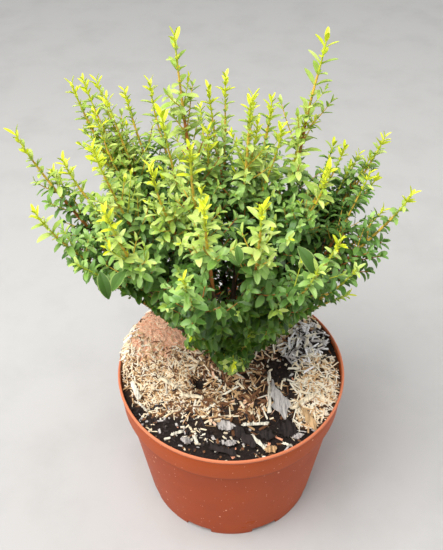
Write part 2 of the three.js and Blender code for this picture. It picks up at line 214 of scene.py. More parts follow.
def makeMottleGroup():
    # Two colours mixed by fractal noise on the object's coordinates, stretched by three factors
    tree, inward, outward = newGroup("mottle", [
        ("INPUT", "Colour A", "NodeSocketColor", (1, 1, 1, 1)),
        ("INPUT", "Colour B", "NodeSocketColor", (0, 0, 0, 1)),
        ("INPUT", "Scale", "NodeSocketFloat", 50.0), ("INPUT", "Stretch", "NodeSocketVector", (1, 1, 1)),
        ("INPUT", "Sharpness", "NodeSocketFloat", 0.2),
        ("OUTPUT", "Colour", "NodeSocketColor", None), ("OUTPUT", "Mask", "NodeSocketFloat", None)])
    noise = tree.nodes.new("ShaderNodeTexNoise")
    noise.inputs["Detail"].default_value = mottleRule["detail"]
    noise.inputs["Roughness"].default_value = mottleRule["roughness"]
    low = mathNode(tree, "MULTIPLY_ADD")
    low.inputs[1].default_value = mottleRule["lowGain"]
    low.inputs[2].default_value = mottleRule["low"]
    spread = tree.nodes.new("ShaderNodeMapRange")
    spread.inputs["From Max"].default_value = mottleRule["high"]
    mix = tree.nodes.new("ShaderNodeMix")
    mix.data_type = "RGBA"
    links = tree.links
    links.new(stretchedPlace(tree, inward), noise.inputs["Vector"])
    links.new(inward.outputs["Scale"], noise.inputs["Scale"])
    links.new(inward.outputs["Sharpness"], low.inputs[0])
    links.new(noise.outputs["Fac"], spread.inputs["Value"])
    links.new(low.outputs[0], spread.inputs["From Min"])
    links.new(spread.outputs[0], mix.inputs["Factor"])
    links.new(inward.outputs["Colour A"], mix.inputs[6])
    links.new(inward.outputs["Colour B"], mix.inputs[7])
    links.new(mix.outputs[2], outward.inputs["Colour"])
    links.new(spread.outputs[0], outward.inputs["Mask"])
    return tree


def makeSpeckGroup():
    # Small round specks: within a radius of the centre of a share of a Voronoi pattern's cells, chosen by
    # their random number
    tree, inward, outward = newGroup("specks", [
        ("INPUT", "Scale", "NodeSocketFloat", 200.0), ("INPUT", "Radius", "NodeSocketFloat", 0.3),
        ("INPUT", "Share", "NodeSocketFloat", 0.1), ("INPUT", "Stretch", "NodeSocketVector", (1, 1, 1)),
        ("OUTPUT", "Mask", "NodeSocketFloat", None)])
    cells = tree.nodes.new("ShaderNodeTexVoronoi")
    parts = tree.nodes.new("ShaderNodeSeparateColor")
    near, chosen = mathNode(tree, "LESS_THAN"), mathNode(tree, "LESS_THAN")
    both = mathNode(tree, "MULTIPLY")
    links = tree.links
    links.new(stretchedPlace(tree, inward), cells.inputs["Vector"])
    links.new(inward.outputs["Scale"], cells.inputs["Scale"])
    links.new(cells.outputs["Distance"], near.inputs[0])
    links.new(inward.outputs["Radius"], near.inputs[1])
    links.new(cells.outputs["Color"], parts.inputs[0])
    links.new(parts.outputs[0], chosen.inputs[0])
    links.new(inward.outputs["Share"], chosen.inputs[1])
    links.new(near.outputs[0], both.inputs[0])
    links.new(chosen.outputs[0], both.inputs[1])
    links.new(both.outputs[0], outward.inputs["Mask"])
    return tree


mottleGroup = makeMottleGroup()
speckGroup = makeSpeckGroup()


def newMaterial(name, roughness, specular):
    material = bpy.data.materials.new(name)
    material.use_nodes = True
    shader = material.node_tree.nodes["Principled BSDF"]
    shader.inputs["Roughness"].default_value = roughness
    shader.inputs["Specular IOR Level"].default_value = specular
    return material, material.node_tree, shader


def groupNode(tree, group, values):
    node = tree.nodes.new("ShaderNodeGroup")
    node.node_tree = group
    for name, value in values.items():
        node.inputs[name].default_value = value
    return node


def mottled(tree, colorA, colorB, scale, stretch=(1, 1, 1), sharpness=0.2):
    return groupNode(tree, mottleGroup, {
        "Colour A": srgb(colorA), "Colour B": srgb(colorB), "Scale": scale, "Stretch": stretch,
        "Sharpness": sharpness})


def specked(tree, scale, radius, share, stretch=(1, 1, 1)):
    return groupNode(tree, speckGroup, {"Scale": scale, "Radius": radius, "Share": share, "Stretch": stretch})


def mixColors(tree, mask, first, second, strength=1.0):
    # first where mask is 0, going to second where mask times strength is 1
    mix = tree.nodes.new("ShaderNodeMix")
    mix.data_type = "RGBA"
    scaled = mathNode(tree, "MULTIPLY")
    scaled.inputs[1].default_value = strength
    tree.links.new(mask, scaled.inputs[0])
    tree.links.new(scaled.outputs[0], mix.inputs["Factor"])
    for source, socket in ((first, mix.inputs[6]), (second, mix.inputs[7])):
        if isinstance(source, tuple):
            socket.default_value = srgb(source)
        else:
            tree.links.new(source, socket)
    return mix.outputs[2]


def addBump(tree, shader, height, distance, strength):
    bump = tree.nodes.new("ShaderNodeBump")
    bump.inputs["Strength"].default_value = strength
    bump.inputs["Distance"].default_value = distance
    tree.links.new(height, bump.inputs["Height"])
    tree.links.new(bump.outputs["Normal"], shader.inputs["Normal"])


def grainyMaterial(name, color, depth, look):
    # A colour with a raised grain that goes to depth times the colour
    material, tree, shader = newMaterial(name, look["roughness"], look["specular"])
    darker = tuple(int(c * depth) for c in color)
    grain = mottled(tree, color, darker, *look["grain"])
    tree.links.new(grain.outputs["Colour"], shader.inputs["Base Color"])
    addBump(tree, shader, grain.outputs["Mask"], *look["bump"])
    return material


# Meshes from arrays

def makePiece(name, points, faceSets, material, nodes=(), attributes=None, sharpAngle=40.0):
    # points is (n, 3) in millimetres, and each face set is (m, 3) or (m, 4) point numbers
    corners = np.concatenate([faces.ravel() for faces in faceSets])
    sizes = np.concatenate([np.full(len(faces), faces.shape[1]) for faces in faceSets])
    starts = np.concatenate([[0], np.cumsum(sizes)[:-1]])
    mesh = bpy.data.meshes.new(name)
    mesh.vertices.add(len(points))
    mesh.vertices.foreach_set("co", (points * mm).astype(np.float32).ravel())
    mesh.loops.add(len(corners))
    mesh.loops.foreach_set("vertex_index", corners.astype(np.int32))
    mesh.polygons.add(len(sizes))
    mesh.polygons.foreach_set("loop_start", starts.astype(np.int32))
    mesh.update(calc_edges=True)
    for attributeName, values in (attributes or {}).items():
        attribute = mesh.attributes.new(attributeName, "FLOAT", "POINT")
        attribute.data.foreach_set("value", np.asarray(values, np.float32))
    mesh.polygons.foreach_set("use_smooth", np.ones(len(sizes), bool))
    mesh.set_sharp_from_angle(angle=math.radians(sharpAngle))
    mesh.materials.append(material)
    piece = bpy.data.objects.new(name, mesh)
    bpy.context.scene.collection.objects.link(piece)
    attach(piece, "root")
    if nodes:
        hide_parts(*nodes)
    print(name, int(np.sum(sizes - 2)), "triangles")


def gridFaces(rows, columns):
    # Quads between neighbours of a rows by columns grid of points, whose last column meets its first
    row, column = np.meshgrid(np.arange(rows - 1), np.arange(columns), indexing="ij")
    after = (column + 1) % columns
    here, beyond = row * columns, (row + 1) * columns
    corners = [here + column, here + after, beyond + after, beyond + column]
    return np.stack(corners, -1).reshape(-1, 4)


def fan(centre, ring, outward=True):
    # Triangles from a centre point to a closed ring of point numbers
    after = np.roll(ring, -1)
    centres = np.full(len(ring), centre)
    return np.stack([centres, ring, after] if outward else [centres, after, ring], -1)


def tubeFaces(rows, sides, isTurned=False):
    # Quads round a rows by sides grid of points, and fans at its ends to two points that follow the grid
    quads, ring = gridFaces(rows, sides), np.arange(sides)
    tips = [fan(rows * sides, ring, isTurned), fan(rows * sides + 1, ring + (rows - 1) * sides, not isTurned)]
    return quads[:, ::-1] if isTurned else quads, np.vstack(tips)


def roundPoints(radius, bearing, height):
    # Points round the Z axis, with bearings in radians
    return np.stack(np.broadcast_arrays(radius * np.cos(bearing), radius * np.sin(bearing), height), -1)


def hashed(x, y, salt):
    # A number from 0 to 1 for each pair of whole numbers, scattered by large odd factors
    mixed = (x.astype(np.int64) * 374761393 + y.astype(np.int64) * 668265263 + salt * 1274126177) & 0xFFFFFFFF
    mixed = ((mixed ^ (mixed >> 13)) * 1103515245) & 0xFFFFFFFF
    return ((mixed ^ (mixed >> 16)) & 0xFFFF) / 65535.0


def valueNoise(x, y, cell, salt):
    # Numbers on a square lattice, blended between its corners with a smooth step, from -1 to 1
    column, row = np.floor(x / cell), np.floor(y / cell)
    u, v = x / cell - column, y / cell - row
    u, v = u * u * (3 - 2 * u), v * v * (3 - 2 * v)
    low = hashed(column, row, salt) * (1 - u) + hashed(column + 1, row, salt) * u
    high = hashed(column, row + 1, salt) * (1 - u) + hashed(column + 1, row + 1, salt) * u
    return (low * (1 - v) + high * v) * 2 - 1


def normalized(vectors):
    return vectors / np.maximum(np.linalg.norm(vectors, axis=-1, keepdims=True), 1e-9)


# Pot

potLook = {  # a mottle is a scale and a sharpness
    "deep": (165, 62, 4), "light": (180, 73, 10), "mottle": (7.0, 0.1), "roughness": 0.55, "specular": 0.22,
    "dust": (186, 88, 44), "dustMottle": (24.0, 0.45), "dustShare": 0.25, "dustRough": (-0.06, 0.16),
    "bump": (0.0002, 0.25), "speck": (236, 180, 146), "scratch": (198, 112, 74),
    "marks": [  # colour, scale, radius, share, stretch, strength
        ("scratch", 60.0, 0.1, 0.1, (1, 1, 0.2), 0.4), ("speck", 130.0, 0.17, 0.06, (1, 1, 0.8), 0.8),
        ("speck", 380.0, 0.26, 0.04, (1, 1, 0.7), 0.6), ("speck", 48.0, 0.09, 0.12, (1.3, 1.3, 0.8), 0.5),
    ],
    # Painted light: a lighter colour for the band, a painted highlight for the lip, and a darker colour for
    # painted shade lines
    "band": (200, 98, 44), "lip": (240, 150, 110), "shadeLine": (120, 44, 12),
    # Painted light by height, on the band and as a highlight on the lip: colour, height in metres from which
    # it lies, and strength, over an edge in metres
    "zones": [("band", 0.1745, 0.26), ("lip", 0.2082, 0.6)], "edge": 0.002,
    # Painted shade lines under the band's step and by the lip's groove: height and half width in metres, and
    # strength
    "shadeLines": [(0.1738, 0.0016, 0.5), (0.2104, 0.0006, 0.7)],
}


def innerWallRadius(height):
    # The radius of the pot's inner side at a height
    sizes = potSizes
    bandFoot = sizes["height"] - sizes["bandHeight"] + sizes["wall"]
    heights = [sizes["floorThickness"], bandFoot - sizes["bandStep"], bandFoot, sizes["height"]]
    radii = [sizes["footRadius"], sizes["bodyTopRadius"], sizes["bodyTopRadius"] + sizes["bandStep"],
             sizes["rimRadius"] - sizes["lipExtra"]]
    return np.interp(height, heights, np.array(radii) - sizes["wall"])


def plasticMaterial():
    # Pale specks and scratches on a mottled base, painted light on the band, a painted highlight on the lip,
    # and painted shade lines under the band's step and by the lip's groove, by height
    look = potLook
    material, tree, shader = newMaterial("terracotta_plastic", look["roughness"], look["specular"])
    scale, sharpness = look["mottle"]
    broad = mottled(tree, look["deep"], look["light"], scale, (1, 1, 1), sharpness)
    scale, sharpness = look["dustMottle"]
    dust = mottled(tree, (0, 0, 0), (255, 255, 255), scale, (1, 1, 1), sharpness)
    color = mixColors(tree, dust.outputs["Mask"], broad.outputs["Colour"], look["dust"], look["dustShare"])
    for part, scale, radius, share, stretch, strength in look["marks"]:
        marks = specked(tree, scale, radius, share, stretch)
        color = mixColors(tree, marks.outputs["Mask"], color, look[part], strength)
    place = tree.nodes.new("ShaderNodeTexCoord")
    height = tree.nodes.new("ShaderNodeSeparateXYZ")
    tree.links.new(place.outputs["Object"], height.inputs[0])
    # Painted light: the band made lighter, and a painted highlight on the lip, above their heights
    for part, start, strength in look["zones"]:
        above = tree.nodes.new("ShaderNodeMapRange")
        above.inputs["From Min"].default_value = start
        above.inputs["From Max"].default_value = start + look["edge"]
        tree.links.new(height.outputs["Z"], above.inputs["Value"])
        color = mixColors(tree, above.outputs[0], color, look[part], strength)
    # Painted shade: darker lines under the band's step and by the lip's groove
    for level, width, strength in look["shadeLines"]:
        shadeLine = mathNode(tree, "COMPARE")
        shadeLine.inputs[1].default_value = level
        shadeLine.inputs[2].default_value = width
        tree.links.new(height.outputs["Z"], shadeLine.inputs[0])
        color = mixColors(tree, shadeLine.outputs[0], color, look["shadeLine"], strength)
    tree.links.new(color, shader.inputs["Base Color"])
    rough = tree.nodes.new("ShaderNodeMapRange")
    smoother, rougher = look["dustRough"]
    rough.inputs["To Min"].default_value = look["roughness"] + smoother
    rough.inputs["To Max"].default_value = look["roughness"] + rougher
    tree.links.new(dust.outputs["Mask"], rough.inputs["Value"])
    tree.links.new(rough.outputs[0], shader.inputs["Roughness"])
    addBump(tree, shader, dust.outputs["Mask"], *look["bump"])
    return material


def makePot():
    # A profile turned about Z, from the notches' inner edge out, up to the lip and down inside to the floor.
    # Its foot rows rise by lift over each drainage notch
    sizes = potSizes
    half = sizes["notchHalfAngle"]
    step = 360.0 / sizes["notchCount"]
    sideGap = 0.15  # degrees between the columns at a notch's side
    inside = np.linspace(-half, half, 7)
    outside = np.linspace(half + sideGap, step - half - sideGap, 13)
    pattern = np.concatenate([inside, outside])
    angles = np.concatenate([pattern + step * (i + 0.5) for i in range(sizes["notchCount"])])
    isNotch = np.tile(np.arange(len(pattern)) < len(inside), sizes["notchCount"])
    lift = np.where(isNotch, sizes["notchHeight"], 0.0)
    share = lift / sizes["notchHeight"]
    bandFoot = sizes["height"] - sizes["bandHeight"]
    slope = (sizes["bodyTopRadius"] - sizes["footRadius"]) / bandFoot
    bevel = sizes["footBevel"]
    foot, top, rim, wall = sizes["footRadius"], sizes["bodyTopRadius"], sizes["rimRadius"], sizes["wall"]
    bandRadius = top + sizes["bandStep"]
    inner = sizes["notchInner"]
    rows = [(inner + 0.6 * (1 - share), 0), (inner + 1.2 * (1 - share), lift)]  # radius and height
    for turn in (0.0, 0.3, 0.7, 1.0):
        outward = foot - bevel + bevel * math.sin(turn * math.pi / 2)
        rise = bevel * (1 - math.cos(turn * math.pi / 2))
        rows.append((outward + slope * lift, lift + rise))
    for height in np.linspace(12.0, bandFoot - 1.2, 14):
        rows.append((foot + slope * height, height))
    rows += [  # the band, the lip and its inner edge
        (top - 0.1, bandFoot - 0.4), (top + 0.4, bandFoot), (bandRadius - 0.8, bandFoot),
        (bandRadius - 0.2, bandFoot + 0.3), (bandRadius, bandFoot + 1.0), (bandRadius + 0.3, bandFoot + 8),
        (bandRadius + 0.8, bandFoot + 20), (rim - 1.45, 206.8), (rim - 1.6, 207.4), (rim - 1.6, 208.0),
        (rim - 0.9, 208.7), (rim - 0.25, 209.5), (rim, 210.6), (rim, 211.8), (rim - 0.3, 212.9),
        (rim - 0.9, 213.7), (rim - 1.7, 214.0), (rim - 2.4, 213.7), (rim - 2.9, 212.9), (rim - 3.05, 211.5)]
    for height in (205.0, 195.0, bandFoot + wall + 0.6, bandFoot + wall - 4.4, 130.0, 80.0, 30.0):
        rows.append((float(innerWallRadius(height)), height))
    floor = sizes["floorThickness"]
    floorLift = share * (sizes["notchHeight"] + wall - floor)
    rows += [(foot - wall + 1.2, floor + 12.0), (foot - wall - 0.5, floor + floorLift),
             (inner - wall, floor + 0.9 * floorLift), (inner - wall - 1.5, floor)]
    radii, heights = [np.array([row[i] + 0 * lift for row in rows]) for i in (0, 1)]
    points = roundPoints(radii, np.radians(angles), heights).reshape(-1, 3)
    columns = len(angles)
    first, last = len(points), len(points) + 1
    points = np.vstack([points, [[0, 0, 0], [0, 0, floor]]])
    lastRing = np.arange(columns) + (len(rows) - 1) * columns
    faces = [gridFaces(len(rows), columns), fan(first, np.arange(columns), False), fan(last, lastRing)]
    makePiece("nursery_pot", points, faces, plasticMaterial(), ["pot"], sharpAngle=38.0)


# Mulch and compost

mulchKinds = {
    # Spots are (x, y, x radius, y radius), heap is how far the chips lie up, ground how far the bed under
    # them takes a wood colour, and share how many of the tried chips stay
    "pink": {
        "spots": [(-94, 46, 46, 38), (-58, 46, 30, 26)],
        "length": (2.5, 7), "width": (0.8, 1.8), "heap": 0.8, "ground": 1.0, "share": 1.0,
        "tones": {"pink": 0.78, "straw": 0.06, "rose": 0.16},
    },
    "tan": {
        "spots": [(-84, -10, 54, 36), (-64, -40, 50, 26), (-96, 2, 46, 26)],
        "length": (4, 11), "width": (0.9, 2.1), "heap": 1.6, "ground": 1.0, "share": 1.0,
        "tones": {"straw": 0.36, "tan": 0.32, "cream": 0.16, "brown": 0.16},
    },
    "brown": {
        "spots": [(-8, -44, 62, 34), (28, -2, 26, 26), (-14, 2, 34, 22), (46, 26, 26, 20)],
        "length": (6, 18), "width": (1.2, 3.4), "heap": 4.0, "ground": 0.2, "share": 0.28,
        "tones": {"brown": 0.34, "tan": 0.28, "straw": 0.17, "charcoal": 0.1, "pink": 0.04, "cream": 0.07},
    },
    "grey": {
        "spots": [(90, 38, 36, 30)],
        "length": (7, 18), "width": (1.6, 3.8), "heap": 7.0, "ground": 0.0, "share": 0.34,
        "tones": {"silver": 0.44, "cream": 0.14, "stone": 0.14, "charcoal": 0.28},
    },
    "cream": {
        "spots": [(104, 70, 26, 14), (66, 60, 24, 18), (46, 92, 40, 22), (-40, 100, 60, 26), (58, 38, 12, 8),
                  (-132, 38, 15, 27)],
        "length": (5, 14), "width": (1.6, 4.4), "heap": 3.0, "ground": 0.45, "share": 0.62,
        "tones": {"cream": 0.4, "straw": 0.26, "silver": 0.12, "tan": 0.14, "brown": 0.08},
    },
    "bits": {
        "spots": [(-86, -68, 44, 18), (-40, -94, 34, 12)],
        "length": (2, 9), "width": (1.0, 3.8), "heap": 1.6, "ground": 0.0, "share": 0.27,
        "tones": {"charcoal": 0.5, "brown": 0.14, "cream": 0.12, "straw": 0.14, "stone": 0.1},
    },
    "straw": {
        "spots": [(112, -34, 30, 34), (92, -62, 24, 26), (110, 6, 24, 12)],
        "length": (5, 18), "width": (1.1, 2.8), "heap": 3.0, "ground": 0.5, "share": 0.56,
        "tones": {"straw": 0.36, "cream": 0.36, "tan": 0.22, "brown": 0.06},
    },
}
compostChips = {
    "length": (2, 10), "width": (1.0, 3.8), "heap": 1.0, "share": 0.085,
    "tones": {"charcoal": 0.56, "brown": 0.22, "stone": 0.08, "straw": 0.06, "cream": 0.06, "rose": 0.02},
}
mulchColors = {
    "pink": (255, 210, 176), "rose": (240, 166, 130), "straw": (255, 236, 202), "tan": (218, 178, 130),
    "brown": (126, 86, 58), "cream": (250, 240, 218), "silver": (255, 252, 250), "stone": (204, 196, 190),
    "charcoal": (54, 46, 44),
}
# How dark the grain of a chip gets, as a share of its colour
chipGrain = {"silver": 0.86, "pink": 0.8, "rose": 0.8, "other": 0.66, "flake": 0.5}
chipLook = {  # grain is a scale, a stretch and a sharpness, and bump a depth in metres and a strength
    "chip": {
        "roughness": 0.88, "specular": 0.25, "grain": (260.0, (1.6, 0.35, 1), 0.4), "bump": (0.0004, 0.8),
    },
    "flake": {
        "roughness": 0.88, "specular": 0.25, "grain": (170.0, (2.2, 0.3, 1), 0.2), "bump": (0.001, 0.8),
    },
}
chipRule = {
    "tries": 14500, "seed": 41, "inset": 1.2, "lengthPower": 1.5, "widthPower": 1.3,
    "tilt": 0.2, "roll": 0.35, "lift": 0.1, "thickness": (0.25, 0.3), "thinnest": 0.4,
    "narrow": (0.5, 0.5), "skew": 0.2,
    "wallLevel": 200.0, "wallRoom": 1.0, "overRim": 1.5,
}
soilLook = {
    "roughness": 0.95, "specular": 0.25,
    "compost": (36, 28, 25), "compostLight": (62, 50, 42), "compostMottle": (420.0, (1, 1, 1), 0.3),
    "fibre": (108, 78, 52), "fibreLight": (176, 140, 102), "fibreMottle": (330.0, (1, 1, 1), 0.3),
    "pinkFibre": (252, 206, 170), "pinkStrength": 0.9, "bump": (0.0006, 0.8),
    "crumb": (150, 126, 96), "crumbs": (330.0, 0.35, 0.06), "crumbStrength": 0.6,
}


def mulchHeight(x, y):
    # A level with round bumps: rise times exp(-distance squared / (2 spread squared))
    height = np.full(np.shape(x), mulchSizes["level"])
    for centreX, centreY, rise, spread in mulchSizes["bumps"]:
        height = height + rise * np.exp(-((x - centreX) ** 2 + (y - centreY) ** 2) / (2 * spread ** 2))
    return height


def kindWeights(x, y):
    # For each kind of mulch a flat-topped hill over each of its places, with an uneven edge
    warpX, warpY = x, y
    for number, (reach, cell) in enumerate(mulchSizes["wander"]):
        warpX = warpX + reach * valueNoise(x, y, cell, 3 + number)
        warpY = warpY + reach * valueNoise(x, y, cell, 5 + number)
    weights = []
    for kind in mulchKinds.values():
        most = np.zeros(np.shape(x))
        for centreX, centreY, radiusX, radiusY in kind["spots"]:
            away = ((warpX - centreX) / radiusX) ** 2 + ((warpY - centreY) / radiusY) ** 2
            most = np.maximum(most, np.exp(-away ** 3 * mulchSizes["spotFall"]))
        weights.append(most)
    for centreX, centreY, radius in mulchSizes["bare"]:
        away = ((x - centreX) ** 2 + (y - centreY) ** 2) / radius ** 2
        weights = [weight * (1 - np.exp(-away ** 2)) for weight in weights]
    return np.stack(weights)


def surfaceHeight(x, y):
    # The mulch height with heaps, crumbs and hollows, rougher where chips lie
    share = np.clip(kindWeights(x, y).sum(0), 0, 1)
    height = mulchHeight(x, y)
    for number, (rise, more, cell) in enumerate(mulchSizes["grit"]):
        height = height + (rise + more * share) * valueNoise(x, y, cell, 11 + number)
    for centreX, centreY, drop, spread in mulchSizes["hollows"]:
        height = height - drop * np.exp(-((x - centreX) ** 2 + (y - centreY) ** 2) / (2 * spread ** 2))
    return height


def bedEdge(bearing):
    # The bed's outer radius at a bearing, and how far the heap there stands over the rim, from 0 to 1
    sizes = mulchSizes
    rimHeight = potSizes["height"]
    height = surfaceHeight(sizes["edge"] * np.cos(bearing), sizes["edge"] * np.sin(bearing))
    over = np.clip((height - rimHeight) / sizes["spillSpan"], 0, 1)
    inside = innerWallRadius(np.minimum(height, rimHeight)) - sizes["wallGap"]
    return inside * (1 - over) + sizes["edge"] * over, over


def bedHeight(x, y):
    # The surface height, which falls at an even slope to the rim where a heap spills over it
    edge, over = bedEdge(np.arctan2(y, x))
    level, slope = mulchSizes["spill"]
    height = surfaceHeight(x, y)
    return np.where(over > 0, np.minimum(height, level + slope * (edge - np.hypot(x, y))), height)


def soilMaterial():
    # Mottled compost that goes over to wood fibre, and to pink fibre, by attributes of the bed, with crumbs
    look = soilLook
    material, tree, shader = newMaterial("mulch_and_compost", look["roughness"], look["specular"])
    compost = mottled(tree, look["compost"], look["compostLight"], *look["compostMottle"])
    fibre = mottled(tree, look["fibre"], look["fibreLight"], *look["fibreMottle"])
    shares = []
    for name in ("mulchShare", "pinkShare"):
        share = tree.nodes.new("ShaderNodeAttribute")
        share.attribute_name = name
        shares.append(share.outputs["Fac"])
    fibreColor = mixColors(tree, shares[1], fibre.outputs["Colour"], look["pinkFibre"], look["pinkStrength"])
    color = mixColors(tree, shares[0], compost.outputs["Colour"], fibreColor)
    crumbs = specked(tree, *look["crumbs"])
    color = mixColors(tree, crumbs.outputs["Mask"], color, look["crumb"], look["crumbStrength"])
    tree.links.new(color, shader.inputs["Base Color"])
    addBump(tree, shader, fibre.outputs["Mask"], *look["bump"])
    return material


def makeSoil():
    # Rings out from the middle with the surface height, then a skirt down the pot's inner wall to a level
    # base
    sizes = mulchSizes
    rings, columns = sizes["rings"], sizes["columns"]
    around = np.linspace(0, 2 * math.pi, columns, endpoint=False)
    edge, _ = bedEdge(around)
    radii = np.linspace(0, 1, rings + 1)[1:, None] ** sizes["ringPower"] * edge
    x, y = radii * np.cos(around), radii * np.sin(around)
    z = bedHeight(x, y)
    layers = [np.stack([x, y, z], -1)]
    wallTop = potSizes["height"] - 0.1
    for drop, most in sizes["skirts"]:
        height = np.minimum(z[-1] - drop, most)
        wallRadius = innerWallRadius(np.minimum(height, wallTop)) - sizes["wallGap"]
        radius = np.where(height > wallTop, np.minimum(edge, sizes["edge"]), wallRadius)
        layers.append(roundPoints(radius, around, height)[None])
    floor = potSizes["floorThickness"] + sizes["floorGap"]
    layers.append(roundPoints(sizes["floorRadius"], around, floor)[None])
    points = np.concatenate(layers).reshape(-1, 3)
    middle, bottom = len(points), len(points) + 1
    centreHeight = float(surfaceHeight(np.zeros(1), np.zeros(1))[0])
    points = np.vstack([points, [[0, 0, centreHeight], [0, 0, floor]]])
    weights = kindWeights(points[:, 0], points[:, 1])
    ground = np.array([kind["ground"] for kind in mulchKinds.values()])
    share = np.clip((weights * ground[:, None]).sum(0), 0, 1)
    pink = weights[list(mulchKinds).index("pink")]
    rows = rings + len(sizes["skirts"]) + 1
    grid = gridFaces(rows, columns)[:, ::-1]
    lastRing = np.arange(columns) + (rows - 1) * columns
    faces = [grid, fan(middle, np.arange(columns)), fan(bottom, lastRing, False)]
    attributes = {"mulchShare": share, "pinkShare": pink}
    makePiece("mulch_bed", points, faces, soilMaterial(), ["soil"], attributes, 80.0)


def chipMaterial(tone, kind="chip"):
    depth = chipGrain.get(tone, chipGrain["other"]) if kind == "chip" else chipGrain["flake"]
    return grainyMaterial(f"{kind}_{tone}", mulchColors[tone], depth, chipLook[kind])


def chipBoxes(centre, along, up, length, width, thickness, random):
    # Each chip is a flat box on a centre line, narrowed and skewed at its corners by random shares
    count = len(centre)
    side = normalized(np.cross(up, along))
    square = [(-1, -1), (1, -1), (1, 1), (-1, 1)]
    corners = np.array([(end, *corner) for end in (-1, 1) for corner in square])
    least, more = chipRule["narrow"]
    narrow = least + more * random.random((count, 8))
    skew = 1 + chipRule["skew"] * random.standard_normal((count, 8))
    points = centre[:, None] + along[:, None] * (corners[:, 0] * skew * length[:, None] / 2)[..., None]
    points = points + side[:, None] * (corners[:, 1] * narrow * width[:, None] / 2)[..., None]
    points = points + up[:, None] * (corners[:, 2] * thickness[:, None] / 2)[..., None]
    quads = np.array([(0, 1, 2, 3), (7, 6, 5, 4), (0, 4, 5, 1), (1, 5, 6, 2), (2, 6, 7, 3), (3, 7, 4, 0)])
    faces = quads[None, :, ::-1] + (np.arange(count) * 8)[:, None, None]
    return points.reshape(-1, 3), faces.reshape(-1, 4)


def makeChips(materials):
    # Chips are tried at even random places, kept by the weight of the kinds of mulch that lie there, and
    # laid along the slope of the bed
    rule = chipRule
    random = np.random.default_rng(rule["seed"])
    tries = rule["tries"]
    bearing = random.random(tries) * 2 * math.pi
    radius = (mulchSizes["edge"] - rule["inset"]) * np.sqrt(random.random(tries))
    x, y = radius * np.cos(bearing), radius * np.sin(bearing)
    weights = kindWeights(x, y)
    total = weights.sum(0)
    isMulch = random.random(tries) < np.clip(total, 0, 1)
    onCompost = ~isMulch & (random.random(tries) < compostChips["share"])
    pick = random.random(tries) * np.maximum(total, 1e-6)
    kindNumber = np.minimum((np.cumsum(weights, 0) < pick).sum(0), len(mulchKinds) - 1)
    kinds = list(mulchKinds.values()) + [compostChips]
    share = np.array([kind["share"] for kind in kinds])[kindNumber]
    onMulch = isMulch & (random.random(tries) < share)
    kindNumber = np.where(isMulch, kindNumber, len(mulchKinds))

    def between(key, power):
        least, most = np.array([kind[key] for kind in kinds])[kindNumber].T
        return least + (most - least) * random.random(tries) ** power

    length, width = between("length", rule["lengthPower"]), between("width", rule["widthPower"])
    heap = np.array([kind["heap"] for kind in kinds])[kindNumber]
    tones = list(mulchColors)
    table = np.array([[kind["tones"].get(tone, 0) for tone in tones] for kind in kinds])
    toneNumber = (np.cumsum(table, 1)[kindNumber] < random.random(tries)[:, None]).sum(1)
    turn = random.random(tries) * 2 * math.pi
    flat = np.stack([np.cos(turn), np.sin(turn), np.zeros(tries)], -1)
    ahead = bedHeight(x + flat[:, 0] * length / 2, y + flat[:, 1] * length / 2)
    behind = bedHeight(x - flat[:, 0] * length / 2, y - flat[:, 1] * length / 2)
    rise = (ahead - behind) / length + rule["tilt"] * random.standard_normal(tries)
    along = normalized(flat + np.stack([0 * rise, 0 * rise, rise], -1))
    up = np.array([0, 0, 1.0]) + rule["roll"] * random.standard_normal((tries, 3))
    up = normalized(up - along * np.sum(up * along, -1, keepdims=True))
    here = bedHeight(x, y)
    z = np.maximum((ahead + behind + 2 * here) / 4, here) + rule["lift"] + random.random(tries) * heap
    centre = np.stack([x, y, z], -1)
    least, spread = rule["thickness"]
    thickness = np.maximum(width * (least + spread * random.random(tries)), rule["thinnest"])
    isInside = radius + length / 2 < innerWallRadius(rule["wallLevel"]) + rule["wallRoom"]
    isInside |= z > potSizes["height"] + rule["overRim"]
    kept = (onMulch | onCompost) & isInside
    for number, tone in enumerate(tones):
        chosen = kept & (toneNumber == number)
        points, faces = chipBoxes(centre[chosen], along[chosen], up[chosen], length[chosen], width[chosen],
                                  thickness[chosen], random)
        makePiece("chips_" + tone, points, [faces], materials[tone], sharpAngle=30.0)


